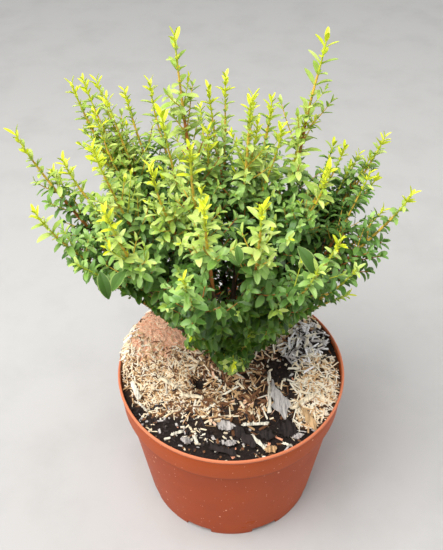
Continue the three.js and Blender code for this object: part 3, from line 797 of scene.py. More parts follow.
bigChips = {  # name: from, to, width, thickness, tone
    "pale_stick": ((47, -9, 209), (45, -69, 207), 5.0, 3.2, "cream"),
    "bark_flake": ((49, -24, 211), (63, -77, 208), 17, 4.0, "stone"),
    "white_stick": ((13, -84, 205), (43, -83, 206), 4.4, 3.0, "cream"),
    "white_splinter": ((22, -96, 202), (39, -116, 201), 5.0, 2.6, "cream"),
    "tan_flake": ((80, -58, 210), (98, -94, 206), 10, 3.0, "tan"),
    "tan_plank": ((74, -62, 208), (100, -44, 210), 6.5, 2.6, "straw"),
    "straw_chip": ((-62, -42, 208), (-33, -46, 207), 5.5, 2.4, "straw"),
    "white_chip": ((-121, -26, 212), (-110, -50, 209), 7.0, 2.4, "cream"),
    "white_sliver": ((-112, -52, 208), (-101, -64, 206), 3.0, 1.6, "cream"),
    "grain_chip": ((-88, -20, 215), (-66, -34, 212), 4.5, 2.0, "straw"),
    "tan_shaving": ((-40, 8, 209), (-18, -4, 208), 5.0, 2.0, "tan"),
    "lump_a": ((-58, -101, 203), (-48, -106, 203), 8, 5, "stone"),
    "lump_b": ((-16, -84, 204), (2, -86, 204), 13, 8, "stone"),
    "lump_c": ((-8, -108, 202), (3, -106, 202), 8, 5, "stone"),
    "lump_d": ((70, -100, 203), (80, -98, 203), 8, 5, "stone"),
    "stone_red": ((38, -117, 202), (50, -114, 202), 9, 6, "tan"),
    "black_bark": ((2, -86, 204), (26, -112, 202), 12, 7, "charcoal"),
    "black_strip": ((-24, -112, 202), (4, -120, 201), 8, 4, "charcoal"),
    "dark_lump": ((54, -92, 205), (74, -90, 205), 21, 12, "charcoal"),
    "dark_flake": ((30, -92, 203), (48, -100, 203), 14, 5, "charcoal"),
    "cream_flat": ((46, 36, 211), (63, 42, 212), 8, 2.4, "cream"),
    "cream_back": ((98, 66, 214), (118, 62, 213), 9, 2.6, "cream"),
    "white_bits_a": ((-70, -96, 203), (-58, -91, 203), 4.5, 2.0, "cream"),
    "white_bits_b": ((-44, -98, 203), (-40, -107, 202), 4.0, 2.0, "cream"),
    "white_bits_c": ((10, -104, 203), (19, -102, 203), 4.4, 2.2, "cream"),
    "white_bits_d": ((58, -108, 203), (68, -112, 203), 3.6, 1.8, "cream"),
}


bigChipRule = {  # how uneven they are, in shares, or millimetres for ragged ends and a lump's thickness
    "seed": 42, "lumpFrom": 4.5, "narrow": 0.12, "ragged": 1.5, "wander": 0.05, "across": 0.1, "rough": 0.25,
    "endThickness": 0.4,
}


def makeBigChips():
    # Each is a strip along its centre line, of six-sided sections that narrow to ragged ends
    rule = bigChipRule
    random = np.random.default_rng(rule["seed"])
    rows, sides = 12, 6
    t = np.linspace(0, 1, rows)
    outline = {"stick": 0.9 + 0 * t, "flake": np.clip(1.9 * np.minimum(t + 0.04, 1.6 * (1.06 - t)), 0.14, 1),
               "lump": np.sin(math.pi * (0.1 + 0.8 * t)) ** 0.6}
    corner = np.array([(-1, 0.15), (-0.5, 1), (0.5, 1), (1, 0.15), (0.55, -1), (-0.55, -1)])
    isEnd = np.isin(np.arange(rows), (0, rows - 1))
    byTone = {}
    for name, (start, end, width, thickness, tone) in bigChips.items():
        start, end = np.array(start, float), np.array(end, float)
        kind = "flake" if "flake" in name else "lump" if thickness > rule["lumpFrom"] else "stick"
        along = normalized(end - start)
        side = normalized(np.cross([0, 0, 1.0], along))
        up = np.cross(along, side)
        share = outline[kind] * (1 + rule["narrow"] * random.standard_normal(rows))
        ragged = rule["ragged"] * random.standard_normal((rows, sides)) * isEnd[:, None]
        wander = rule["wander"] * width * random.standard_normal((rows, 1))
        middle = start + (end - start) * t[:, None] + side * wander
        uneven = 1 + rule["across"] * random.standard_normal((rows, sides))
        across = corner[:, 0] * uneven * share[:, None] * width / 2
        uneven = 1 + rule["rough"] * random.standard_normal((rows, sides))
        rise = corner[:, 1] * uneven * thickness / 2 * share[:, None] ** rule["endThickness"]
        spots = middle[:, None] + side * across[..., None] + up * rise[..., None] + along * ragged[..., None]
        base = byTone.setdefault(tone, ([], []))
        offset = sum(len(p) for p in base[0])
        ends = np.stack([spots[0].mean(0), spots[-1].mean(0)])
        base[0].append(np.vstack([spots.reshape(-1, 3), ends]))
        quads, tips = tubeFaces(rows, sides, True)
        triangles = np.vstack([quads[:, [0, 1, 2]], quads[:, [0, 2, 3]], tips])
        base[1].append(triangles[:, ::-1] + offset)
    for tone, (points, faces) in byTone.items():
        material = chipMaterial(tone, "flake")
        makePiece("flakes_" + tone, np.vstack(points), [np.vstack(faces)], material, sharpAngle=45.0)


# Limbs

sideways = np.array([1.0, 0.2, 0.0])  # no limb runs along this direction


def limbEnds(height, shoot):
    # A limb's root on the stem and its tip, from its bearing, reach and tip height
    sizes = plantSizes
    bearing, reach, top = shoot
    foot = np.array(sizes["foot"])
    out = np.array([math.cos(math.radians(bearing)), math.sin(math.radians(bearing)), 0.0])
    root = foot + np.array([*sizes["stemLean"], height])
    if height < sizes["stemHeight"] - sizes["stemCrown"]:
        root = root + out * sizes["rootOffset"]
    tip = np.array([foot[0], foot[1], top]) + out * reach
    return root, tip


def limbPoints(root, tip, t):
    # Height goes with t, and distance from the stem with 1 - (1 - t)^bend
    out = 1 - (1 - np.clip(t, 0, 1)) ** plantSizes["bend"]
    share = np.stack([out, out, t], -1)
    return root + (tip - root) * share


def shootPoints(shoot, t):
    # The stretch of a limb from its start share to its tip, drawn at its start towards its fork by shift,
    # arched up by lift, and waving sideways by sway
    start = shoot["start"]
    points = limbPoints(shoot["root"], shoot["tip"], start + (1 - start) * t)
    wave = np.sin(t[:, None] * math.pi) * np.sin(t[:, None] * shoot["waves"] + shoot["phase"])
    arch = np.array([0, 0, 1.0]) * (shoot["lift"] * np.sin(t * math.pi))[:, None]
    return points + arch + shoot["shift"] * ((1 - t) ** 2)[:, None] + wave * shoot["sway"]


def newShoot(mass, isLow, root, tip, start, random, lift=0, waves=None):
    # A shoot with waves of its own, which isn't drawn to its fork yet
    sway = random.standard_normal(3) * plantSizes["sway"]
    waves = waves or 5 + 4 * random.random()
    return {
        "mass": mass, "isLow": isLow, "root": root, "tip": tip, "start": start, "lift": lift,
        "shift": np.zeros(3), "sway": sway, "waves": waves, "phase": 6.3 * random.random(),
        "radius": plantSizes["sideShootRadius"],
    }


def planShoots():
    # The first shoot of a mass goes on from its bough, and the others fork off the first
    sizes = plantSizes
    random = np.random.default_rng(sizes["seed"])
    shoots, boughs = [], []
    for isLow, group in ((False, masses), (True, lowMasses)):
        cut = 0.0 if isLow else sizes["boughShare"]
        forkAt = sizes["lowForkShare"] if isLow else sizes["forkShare"]
        for name, (height, tips) in group.items():
            ends = [limbEnds(height, tip) for tip in tips]
            root = np.mean([end[0] for end in ends], 0)
            tip = np.mean([end[1] for end in ends], 0)
            if not isLow:
                boughs.append({"mass": name, "root": root, "tip": tip})
            boughEnd = limbPoints(root, tip, np.array([cut]))[0]
            leader = None
            for number, (ownRoot, ownTip) in enumerate(ends):
                known = f"{name}_{number + 1}"
                mass = known if known in shootAges or known in leafScales else name
                start = cut + (forkAt if number else 0)
                shoot = newShoot(mass, isLow, ownRoot, ownTip, start, random, shootLifts.get(known, 0))
                target = boughEnd
                if number:
                    target = shootPoints(leader, np.array([forkAt / (1 - cut)]))[0]
                else:
                    leader = shoot
                    shoot["radius"] = sizes["shootRadius"] if isLow else sizes["boughTipRadius"]
                if number or not isLow:
                    shoot["shift"] = target - limbPoints(ownRoot, ownTip, np.array([start]))[0]
                shoots.append(shoot)
    return shoots, boughs


innerTips = {  # places of the growing tips of more shoots within the masses
    "inner": [
        (-23, 90, 550), (123, 80, 485), (-24, 50, 526), (26, 50, 532), (50, 40, 533), (75, 60, 529),
        (-140, 30, 518), (-139, 60, 540), (96, 0, 511), (-150, 86, 563), (-125, 66, 554),
    ],
    "inner_right": [
        (148, 108, 459), (155, 84, 470), (134, 84, 458), (166, 84, 442), (174, 58, 416), (150, 84, 425),
    ],
}


def addInnerShoots(shoots):
    # Each is the upper part of a limb of its own, drawn at its start to the nearest place on another shoot
    sizes = plantSizes
    random = np.random.default_rng(sizes["innerSeed"])
    around = np.linspace(0.05, 0.9, 60)
    places = np.vstack([shootPoints(shoot, around) for shoot in shoots if not shoot["isLow"]])
    height = sizes["stemHeight"] - sizes["innerRootDrop"]
    root = np.array(sizes["foot"]) + np.array([*sizes["stemLean"], height])
    for mass, tips in innerTips.items():
        for tip in tips:
            shoot = newShoot(mass, False, root, np.array(tip, float), sizes["innerStart"], random, waves=7.0)
            start = shootPoints(shoot, np.zeros(1))[0]
            shoot["shift"] = places[np.argmin(np.linalg.norm(places - start, axis=1))] - start
            shoots.append(shoot)


def tubes(paths, radii, sides, relief=None):
    # Many tubes at once: each point is the path's plus the radius times (side cos turn + across sin turn),
    # and a point on the path closes each end
    count, rows = paths.shape[:2]
    along = normalized(np.gradient(paths, axis=1))
    side = normalized(np.cross(sideways, along))
    across = np.cross(side, along)
    turn = np.arange(sides) * 2 * math.pi / sides
    ring = side[:, :, None] * np.cos(turn)[:, None] + across[:, :, None] * np.sin(turn)[:, None]
    reach = radii[:, :, None] if relief is None else radii[:, :, None] + relief
    points = paths[:, :, None] + ring * reach[..., None]
    ends = np.stack([paths[:, 0], paths[:, -1]], 1)
    points = np.concatenate([points.reshape(count, -1, 3), ends], 1)
    quads, tips = tubeFaces(rows, sides)
    offset = (np.arange(count) * (rows * sides + 2))[:, None, None]
    return points.reshape(-1, 3), [(quads + offset).reshape(-1, 4), (tips + offset).reshape(-1, 3)]


barkLook = {  # grain and patches are a scale, a stretch and a sharpness
    "roughness": 0.9, "specular": 0.3,
    "dark": (74, 56, 42), "light": (128, 106, 84), "lichen": (120, 116, 92), "lichenShare": 0.5,
    "grain": (160.0, (1, 1, 0.22), 0.25), "patches": (60.0, (1, 1, 1), 0.45), "bump": (0.0006, 0.8),
}
barkRelief = {
    # The stem's top edge is rounded from a share of its height on, and its bark is noise of a height and cell
    "roundFrom": 0.94, "roundSpan": 0.07, "roundDepth": 0.8,
    "around": 30.0, "away": 100.0, "climb": 9.0, "height": 0.7, "cell": 5.0, "buttresses": 5, "buttress": 1.2,
    # Boughs reach a little into their shoots, with leaf scars along them
    "overlap": 1.02, "scars": 9, "scar": 0.35, "scarSpan": 0.02,
    "knobs": 0.3, "knobCell": 1.3, "knobClimb": 40.0, "knobTurn": 1.7, "apart": 13.0,
}


def barkMaterial():
    look = barkLook
    material, tree, shader = newMaterial("privet_bark", look["roughness"], look["specular"])
    grain = mottled(tree, look["dark"], look["light"], *look["grain"])
    patches = mottled(tree, look["dark"], look["light"], *look["patches"])
    patch = patches.outputs["Mask"]
    color = mixColors(tree, patch, grain.outputs["Colour"], look["lichen"], look["lichenShare"])
    tree.links.new(color, shader.inputs["Base Color"])
    addBump(tree, shader, grain.outputs["Mask"], *look["bump"])
    return material


def makeStem(material):
    # The stem's middle line starts upright and leans with t squared, and its radius thins evenly, with a
    # flare at the foot that runs out in buttresses, and noise for the bark
    sizes = plantSizes
    rows, sides = 40, 30
    t = np.linspace(0, 1, rows)
    foot = np.array(sizes["foot"])
    lean = np.array([*sizes["stemLean"], 0.0])
    path = foot + lean * (t ** 2)[:, None] + np.array([0, 0, sizes["stemHeight"]]) * t[:, None]
    flare = (sizes["flareRadius"] - sizes["stemRadius"]) * (1 - np.minimum(t / sizes["flareShare"], 1)) ** 2
    radius = sizes["stemRadius"] + (sizes["stemTopRadius"] - sizes["stemRadius"]) * t + flare
    bark = barkRelief
    topEdge = ((t - bark["roundFrom"]) / bark["roundSpan"]).clip(0, 1)
    radius = radius * np.sqrt(np.clip(1 - topEdge ** 2 * bark["roundDepth"], 0.05, 1))
    turn = np.arange(sides) * 2 * math.pi / sides
    x, y = np.cos(turn) * bark["around"] + bark["away"], np.sin(turn) * bark["around"] + bark["away"]
    relief = bark["height"] * valueNoise(x[None] + t[:, None] * bark["climb"], y[None], bark["cell"], 31)
    buttress = bark["buttress"] * np.cos(bark["buttresses"] * turn + 1)
    relief = relief + buttress[None] * flare[:, None] / (sizes["flareRadius"] - sizes["stemRadius"])
    points, faces = tubes(path[None], radius[None], sides, relief[None])
    makePiece("bark_stem", points, faces, material, ["stem"], sharpAngle=60.0)


def makeBoughs(boughs, material):
    # Limbs from the stem to their masses that taper evenly, with swellings at old leaf scars and noise
    sizes = plantSizes
    rows, sides = 30, 9
    t = np.linspace(0, 1, rows)
    bark = barkRelief
    share = t * sizes["boughShare"] * bark["overlap"]
    paths = np.stack([limbPoints(bough["root"], bough["tip"], share) for bough in boughs])
    radius = sizes["boughRootRadius"] + (sizes["boughTipRadius"] - sizes["boughRootRadius"]) * t
    scars = bark["scar"] * np.exp(-((t * bark["scars"]) % 1 - 0.5) ** 2 / bark["scarSpan"])
    radii = np.tile(radius + scars, (len(boughs), 1))
    number = np.arange(len(boughs))[:, None, None] * bark["apart"]
    turn = np.arange(sides)[None, None] * bark["knobTurn"]
    climb = t[None, :, None] * bark["knobClimb"] + 0 * turn + 0 * number
    relief = bark["knobs"] * valueNoise(number + turn, climb, bark["knobCell"], 37)
    points, faces = tubes(paths, radii, sides, relief)
    nodes = [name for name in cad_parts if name.startswith("bough_")]
    makePiece("bark_boughs", points, faces, material, nodes, sharpAngle=60.0)


# Shoots, twigs and leaves

shootParts = {  # part: colour, and the distances from the tip between which it runs
    "tip": ((196, 202, 64), 0.3, 30.0), "young": ((218, 180, 72), 29.0, 84.0),
    "middle": ((184, 112, 52), 83.0, 126.0), "base": ((100, 72, 50), 125.0, 9999.0),
}
# The shaded and lit colours are painted shade and painted light, and the lit ones hold a painted sky
# reflection
leafTones = {  # tone: shaded colour, lit colour, and the age below which a leaf has it
    "lime": ((192, 206, 26), (230, 238, 62), 4.8),
    "spring": ((146, 176, 66), (194, 212, 114), 23),
    "fresh": ((108, 146, 54), (160, 194, 106), 54),
    "green": ((68, 108, 34), (122, 160, 80), 112),
    "deep": ((38, 66, 14), (84, 119, 42), 9999),
}
growth = {
    "seed": 23, "leafSeed": 28,
    # Nodes of a shoot stand closer together near its growing tip
    "tipCut": 10.0, "firstNode": 0.5, "lastRoom": 8.0, "tipSpacing": 3.9, "spacing": 9.0,
    "spacingReach": 16.0, "turnSpread": 18.0, "boughLeafy": 0.7,
    # Leaves get longer and stand further off their shoot with the distance from its tip, and their age is a
    # factor times a power of it
    "tipLeaf": 10.5, "leaf": 15.8, "leafReach": 30.0, "leafSpread": 0.12,
    "tipAngle": 27.0, "leafAngle": 60.0, "angleReach": 10.0, "angleSpread": (3.0, 6.0), "spreadFrom": 12.0,
    "age": (1.6, 0.72), "ageSpread": 3.0, "lowYouth": 0.85, "ageSpan": (6.0, 20.0),
    # Small pairs in the axils: (turn from the node's own pair, share of the size and angle, share of the age)
    "buds": [(14, 1.0, 0.75), (100, 0.7, 0.3)],
    "budLeaf": 8.0, "budSizes": (0.7, 0.6), "budAngle": 36.0, "budSpan": (9.0, 140.0),
    # Side twigs are longer and older with their distance from the shoot's tip, and a few are bright
    "twigStart": 66.0, "twigShare": 0.66, "twigAngle": 42.0, "limbSpread": 8.0, "twigLength": (14.0, 48.0),
    "twigReach": (0.25, 0.75), "twigDepth": 130.0, "boughDepth": 120.0, "lowTwig": 22.0,
    "twigAge": (13.0, 0.24), "twigAgeSpread": 5.0, "brightShare": 0.04, "brightAge": 8.0,
    # Leaves take the darker tones of older leaves low in the crown and, as painted shade, round its open
    # place, and lighter, younger tones high up: (height, span, most)
    "lowAge": (488.0, 150.0, 100.0), "highAge": (415.0, 60.0, 0.66), "gapShade": (30.0, 70.0),
    "matureFrom": (11.0, 8.0),
    # No leaf hangs under these: (height, distance from the stem, slope), and room over the mulch and the rim
    "underside": (232.0, 50.0, 0.8), "mulchRoom": 3.0, "mulchTop": 203.0, "rimRoom": 4.0,
    "outlineNoise": (8.0, 10.0),
    # The share of leaves and twigs that an open place loses, and the depth beyond which it loses fewer
    "gapShare": 0.85, "gapBack": (45.0, 0.4),
}
twigRule = {
    "points": 6, "bend": (0.12, 0.2), "ageing": 1.1, "boxRoom": 4.0, "floorRoom": 8.0, "leastRise": 0.05,
    # Twigs that face the front lean away from a point in the crown
    "facingFrom": (-5, 60, 300), "facingTurn": (0, -0.5, 0.3), "facingLength": 26.0, "facingAge": 4.0,
    "facingBend": 0.02,
    # Leaf pairs from the tip down: the first ones are smaller and closed
    "firstPair": 0.6, "firstSpacing": 0.6, "spacing": 6.0, "bareFoot": 4.0, "grownPair": 2.5,
    "leaf": 14.2, "pairSizes": (0.66, 0.34), "ageSizes": (0.84, 190.0), "oldest": 50.0, "leafSpread": 0.14,
    "angles": (20.0, 44.0), "angleSpread": 7.0, "turnSpread": 18.0, "ageSpread": 4.0,
}
# How much older a shoot's leaves look at its tip and lower down, in the measure of leafTones
shootAges = {
    "right_back": (0, 13), "right_back_2": (8, 10), "inner_right": (0, 18), "far_right": (0, 7),
    "tall_right": (0, 3), "front_2": (7, 110), "right_front_2": (6, 12), "front_left_2": (18, 46),
    "front_right_2": (14, 60), "low_front_1": (0, 14), "low_front": (2, 14), "low_left": (2, 14),
    "low_right": (2, 14), "front": (0, 10),
}
# The crown's lower edge as the camera sees it: x and height where it crosses y = 0
lowerOutline = [
    (-124, 340), (-100, 324), (-88, 302), (-78, 286), (-60, 272), (-54, 244), (-26, 230), (-18, 200),
    (0, 186), (14, 194), (28, 220), (44, 246), (64, 268), (84, 290), (105, 312), (140, 312),
]
# Open places in the crown: a point, a direction and a radius
gaps = [((-6, 20, 334), (0, -0.728, 0.686), 19)]
leafScales = {"tall_left": 1.42, "tall_right": 1.35, "low_front_1": 1.3}
# How far the middle of a shoot arches up
shootLifts = {"front_left_2": 20, "low_right_1": 20, "low_left_1": 14}
# Short twigs whose rosettes face the front: the place of the tip, and how fast leaves below it age
facingTips = [
    (-48, -85, 481, 2.4), (-51, -80, 442, 2.4), (2, -116, 422, 0.9), (43, -104, 413, 0.9),
    (-60, -124, 441, 1.1), (-41, -96, 370, 1.4), (0, -64, 282, 0.7), (-9, -62, 277, 0.7),
    (-26, -60, 506, 2.4), (52, -70, 473, 2.4), (25, -84, 365, 2.4), (12, -64, 287, 0.7),
    (-5, -70, 409, 2.4), (2, -70, 296, 0.9),
]
# Old leaves with pale margins: foot, tip, width
largeLeaves = [
    ((-123, -88, 452), (-116, -100, 427), 12), ((-98, -92, 456), (-111, -104, 441), 11),
    ((55, -104, 494), (70, -118, 472), 12), ((2, -122, 511), (4, -130, 496), 8),
    ((30, 120, 440), (38, 140, 420), 11), ((-70, 130, 430), (-80, 150, 410), 11),
    ((110, 80, 430), (128, 92, 410), 11),
]
stemLook = {
    "roughness": 0.55, "specular": 0.4, "depth": 0.74, "grain": (240.0, (1, 1, 0.4), 0.3),
    "bump": (0.0002, 0.4),
}
leafLook = {
    "roughness": 0.45, "edgedRoughness": 0.65, "specular": 0.38, "veins": (300.0, (1, 1, 1), 0.4),
    "veinShare": 0.3, "margin": (168, 190, 104), "marginFrom": 0.5, "marginTo": 0.8, "marginShare": 0.7,
    "through": 0.2, "throughRadius": (0.6, 1.0, 0.25), "throughScale": 0.002,
}


def turnedAway(along, turn, angle):
    # Directions at an angle to those along a limb, turned round it by a bearing of their own, in degrees
    side = normalized(np.cross(sideways, along))
    turn, angle = np.radians(turn)[:, None], np.radians(angle)[:, None]
    side = side * np.cos(turn) + np.cross(along, side) * np.sin(turn)
    return side * np.sin(angle) + along * np.cos(angle)


def stemMaterial(name, color):
    return grainyMaterial(name, color, stemLook["depth"], stemLook)


def leafMaterial(tone, hasMargin=False):
    # Each leaf has its own share of painted light between its tone's shaded and lit colours, paler by fine
    # veins, and old leaves have a pale margin
    look = leafLook
    shaded, lit, _ = leafTones[tone]
    name = "leaf_edged" if hasMargin else "leaf_" + tone
    roughness = look["edgedRoughness"] if hasMargin else look["roughness"]
    material, tree, shader = newMaterial(name, roughness, look["specular"])
    # Painted light and shade: a random share for each leaf between the shaded and lit colours
    own = tree.nodes.new("ShaderNodeAttribute")
    own.attribute_name = "leafTone"
    color = mixColors(tree, own.outputs["Fac"], shaded, lit)
    veins = mottled(tree, (0, 0, 0), (255, 255, 255), *look["veins"])
    color = mixColors(tree, veins.outputs["Mask"], color, lit, look["veinShare"])
    if hasMargin:
        edge = tree.nodes.new("ShaderNodeAttribute")
        edge.attribute_name = "leafEdge"
        band = tree.nodes.new("ShaderNodeMapRange")
        band.inputs["From Min"].default_value = look["marginFrom"]
        band.inputs["From Max"].default_value = look["marginTo"]
        tree.links.new(edge.outputs["Fac"], band.inputs["Value"])
        color = mixColors(tree, band.outputs[0], color, look["margin"], look["marginShare"])
    tree.links.new(color, shader.inputs["Base Color"])
    shader.inputs["Subsurface Weight"].default_value = look["through"]
    shader.inputs["Subsurface Radius"].default_value = look["throughRadius"]
    shader.inputs["Subsurface Scale"].default_value = look["throughScale"]
    return material


def addPairs(leaves, place, along, turn, angle, length, age):
    # Two opposite leaves at each place along a limb
    for half in (0, 180):
        leaves.append((place, turnedAway(along, turn + half, angle), along, length, age))


def sampled(points, spots):
    # Points at distances along a path from its end, and the directions towards that end
    steps = np.linalg.norm(np.diff(points[::-1], axis=0), axis=1)
    travelled = np.concatenate([[0], np.cumsum(steps)])

    def at(distances):
        return np.stack([np.interp(distances, travelled, points[::-1, i]) for i in range(3)], -1)

    return at(spots), normalized(at(np.maximum(spots - 2, 0)) - at(spots + 2))


def pathLength(path):
    return float(np.linalg.norm(np.diff(path, axis=0), axis=1).sum())


def nodeDistances(length, scale):
    # Distances of the nodes from a growing tip, up to a length
    rule = growth
    nodes = [rule["firstNode"]]
    while nodes[-1] < length - rule["lastRoom"]:
        spread = 1 - math.exp(-nodes[-1] / rule["spacingReach"])
        step = rule["tipSpacing"] + (rule["spacing"] - rule["tipSpacing"]) * spread
        nodes.append(nodes[-1] + scale * step)
    return np.array(nodes)


def addShootLeaves(leaves, mass, isLow, nodes, place, along, turn, random):
    # A pair of leaves at each node, and small pairs in their axils where the nodes are neither new nor old
    rule = growth
    count = len(nodes)
    size = rule["tipLeaf"] + (rule["leaf"] - rule["tipLeaf"]) * (1 - np.exp(-nodes / rule["leafReach"]))
    size = size * (1 + rule["leafSpread"] * random.standard_normal(count)) * leafScales.get(mass, 1)
    opened = 1 - np.exp(-nodes / rule["angleReach"])
    near, more = rule["angleSpread"]
    spread = near + more * (nodes > rule["spreadFrom"])
    angle = rule["tipAngle"] + (rule["leafAngle"] - rule["tipAngle"]) * opened
    angle = angle + spread * random.standard_normal(count)
    first, power = rule["age"]
    age = first * nodes ** power * (rule["lowYouth"] if isLow else 1)
    tipAge, lowerAge = shootAges.get(mass, (0, 0))
    start, span = rule["ageSpan"]
    age = age + tipAge + (lowerAge - tipAge) * np.clip((nodes - start) / span, 0, 1)
    addPairs(leaves, place, along, turn, angle, size, age + rule["ageSpread"] * random.standard_normal(count))
    low, high = rule["budSpan"]
    hasBud = (nodes > low) & (nodes < high)
    least, more = rule["budSizes"]
    budSize = rule["budLeaf"] * (least + more * random.random(hasBud.sum()))
    budAngle = rule["budAngle"] + rule["limbSpread"] * random.standard_normal(hasBud.sum())
    for quarter, share, youth in rule["buds"]:
        addPairs(leaves, place[hasBud], along[hasBud], turn[hasBud] + quarter, budAngle * share,
                 budSize * share, age[hasBud] * youth)


def sideTwigs(mass, isLow, chosen, depth, place, way, random):
    # The foot, direction, length and age of twigs from the chosen nodes, whose depth is from the growing tip
    rule = growth
    found = len(depth)
    least, most = rule["twigLength"]
    low, more = rule["twigReach"]
    reach = (most - least) * (low + more * random.random(found)) * np.clip(depth / rule["twigDepth"], 0, 1)
    reach = least + reach
    if isLow:
        reach = np.minimum(reach, rule["lowTwig"])
    first, slope = rule["twigAge"]
    age = first + slope * np.maximum(depth - rule["twigStart"], 0)
    age = age + rule["twigAgeSpread"] * random.standard_normal(found)
    age = age + shootAges.get(mass, (0, 0))[1]
    age = np.where(random.random(found) < rule["brightShare"], rule["brightAge"], age)
    return place[chosen], way, reach, age


def growShoots(shoots, boughs, leaves, random):
    # Leaf pairs at nodes along each shoot, each a quarter turn from the last, and side twigs from the older
    # nodes of shoots and boughs
    rule = growth
    t = np.linspace(0, 1, 160)
    twigs, paths = [], []
    limbs = [(shoot["mass"], shootPoints(shoot, t), shoot["isLow"], False) for shoot in shoots]
    for bough in boughs:
        path = limbPoints(bough["root"], bough["tip"], t * plantSizes["boughShare"])
        limbs.append((bough["mass"], path, False, True))
    for mass, path, isLow, isBough in limbs:
        length = pathLength(path)
        scale = leafScales.get(mass, 1)
        cut = rule["tipCut"] * scale
        nodes = nodeDistances(length - cut, scale)
        if isBough:
            nodes = nodes[nodes < length * rule["boughLeafy"]]
        place, along = sampled(path, nodes + cut)
        count = len(nodes)
        turn = np.arange(count) * 90 + 360 * random.random()
        turn = turn + rule["turnSpread"] * random.standard_normal(count)
        if not isBough:
            paths.append(path)
            addShootLeaves(leaves, mass, isLow, nodes, place, along, turn, random)
        beyond = length + rule["boughDepth"] if isBough else 0
        for half in (0, 180):
            chosen = (random.random(count) < rule["twigShare"]) & ((nodes > rule["twigStart"]) | isBough)
            depth = nodes[chosen] + beyond
            angle = rule["twigAngle"] + rule["limbSpread"] * random.standard_normal(len(depth))
            way = turnedAway(along[chosen], turn[chosen] + half, angle)
            twigs.append(sideTwigs(mass, isLow, chosen, depth, place, way, random))
    return paths, [np.concatenate([twig[i] for twig in twigs]) for i in range(4)]


def twigPlaces(twigs, random):
    # Each twig bends up along a parabola, and is left out where its tip would leave the crown or cross a gap
    rule = twigRule
    roots, ways, lengths, ages = twigs
    tips, tipAgeing = np.array(facingTips, float)[:, :3], np.array(facingTips, float)[:, 3]
    facing = normalized(normalized(tips - rule["facingFrom"]) + rule["facingTurn"])
    isFacing = np.arange(len(lengths) + len(tips)) >= len(lengths)
    ageing = np.concatenate([np.full(len(lengths), rule["ageing"]), tipAgeing])
    roots = np.vstack([roots, tips - facing * rule["facingLength"]])
    ways = np.vstack([ways, facing])
    lengths = np.concatenate([lengths, np.full(len(tips), rule["facingLength"])])
    ages = np.concatenate([ages, np.full(len(tips), rule["facingAge"])])
    s = np.linspace(0, 1, rule["points"])
    least, more = rule["bend"]
    bend = np.where(isFacing[:, None], rule["facingBend"], least + more * random.random((len(lengths), 1)))
    bent = lengths[:, None] * bend
    paths = roots[:, None] + ways[:, None] * (s * lengths[:, None])[..., None]
    paths = paths + np.array([0, 0, 1.0]) * (bent * s ** 2)[..., None]
    tipAt = paths[:, -1]
    lowest, highest = np.array(cadLow) / mm + rule["boxRoom"], np.array(cadHigh) / mm - rule["boxRoom"]
    kept = np.all((tipAt > lowest) & (tipAt < highest), axis=1)
    kept &= tipAt[:, 2] > leafFloor(tipAt) + rule["floorRoom"]
    kept &= (ways[:, 2] > rule["leastRise"]) | isFacing
    kept &= ~inGap(tipAt, random) & ~inGap(paths[:, rule["points"] // 2], random)
    return paths[kept], lengths[kept], ages[kept], ageing[kept]


def growTwigs(twigs, leaves, random):
    # Leaf pairs at even spacing from each twig's tip down to near its foot
    rule = twigRule
    paths, lengths, ages, ageing = twigPlaces(twigs, random)
    offset = 360 * random.random(len(paths))
    stretches = rule["points"] - 1
    distance, pair = rule["firstPair"], 0
    while distance < growth["twigLength"][1]:
        has = lengths - distance > rule["bareFoot"]
        share = np.clip(1 - distance / lengths[has], 0, 1)
        start = (share * stretches).astype(int).clip(0, stretches - 1)
        part = (share * stretches - start)[:, None]
        rows = np.arange(has.sum())
        chosen = paths[has]
        place = chosen[rows, start] * (1 - part) + chosen[rows, start + 1] * part
        along = normalized(chosen[rows, start + 1] - chosen[rows, start])
        grown = min(pair / rule["grownPair"], 1)
        least, more = rule["pairSizes"]
        young, years = rule["ageSizes"]
        size = rule["leaf"] * (least + more * grown) * (young + np.clip(ages[has], 0, rule["oldest"]) / years)
        size = size * (1 + rule["leafSpread"] * random.standard_normal(len(rows)))
        least, more = rule["angles"]
        angle = least + more * grown + rule["angleSpread"] * random.standard_normal(len(rows))
        turn = offset[has] + pair * 90 + rule["turnSpread"] * random.standard_normal(len(rows))
        age = ages[has] + distance * ageing[has] + rule["ageSpread"] * random.standard_normal(len(rows))
        addPairs(leaves, place, along, turn, angle, size, age)
        distance += rule["spacing"] * (rule["firstSpacing"] if pair == 0 else 1)
        pair += 1
    return paths, ages


def leafFloor(points):
    # The lowest height for a leaf: just over the mulch or rim, rising outwards under the crown, and not under
    # the lower outline as the camera sees it
    rule = growth
    x, y = points[:, 0], points[:, 1]
    overPot = np.hypot(x, y) < potSizes["rimRadius"] + rule["rimRoom"]
    ground = np.where(overPot, np.maximum(mulchHeight(x, y), rule["mulchTop"]) + rule["mulchRoom"], 0)
    level, start, slope = rule["underside"]
    away = np.hypot(x - plantSizes["foot"][0], y - plantSizes["foot"][1])
    under = np.where(away > start, level + slope * (away - start), 0)
    eyeX, eyeY, eyeZ = cameraLook["place"]
    nearness = (y - eyeY) / -eyeY
    outlineX, outlineHeight = np.transpose(lowerOutline)
    reach, cell = rule["outlineNoise"]
    height = np.interp(eyeX + (x - eyeX) / nearness, outlineX, outlineHeight)
    height = height + reach * valueNoise(x, y, cell, 51)
    return np.maximum(np.maximum(ground, under), eyeZ + (height - eyeZ) * nearness)


def distanceFrom(place, way, points):
    # The distance of each point from a line through a place
    off = points - np.array(place, float)
    return np.linalg.norm(off - (off @ np.array(way))[:, None] * np.array(way), axis=1)


def inGap(points, random):
    # True for most of the points that lie within an open place, and for fewer of those at the back
    found = np.zeros(len(points), bool)
    for place, way, radius in gaps:
        found |= distanceFrom(place, way, points) < radius
    back, backShare = growth["gapBack"]
    return found & (random.random(len(points)) < np.where(points[:, 1] > back, backShare, growth["gapShare"]))


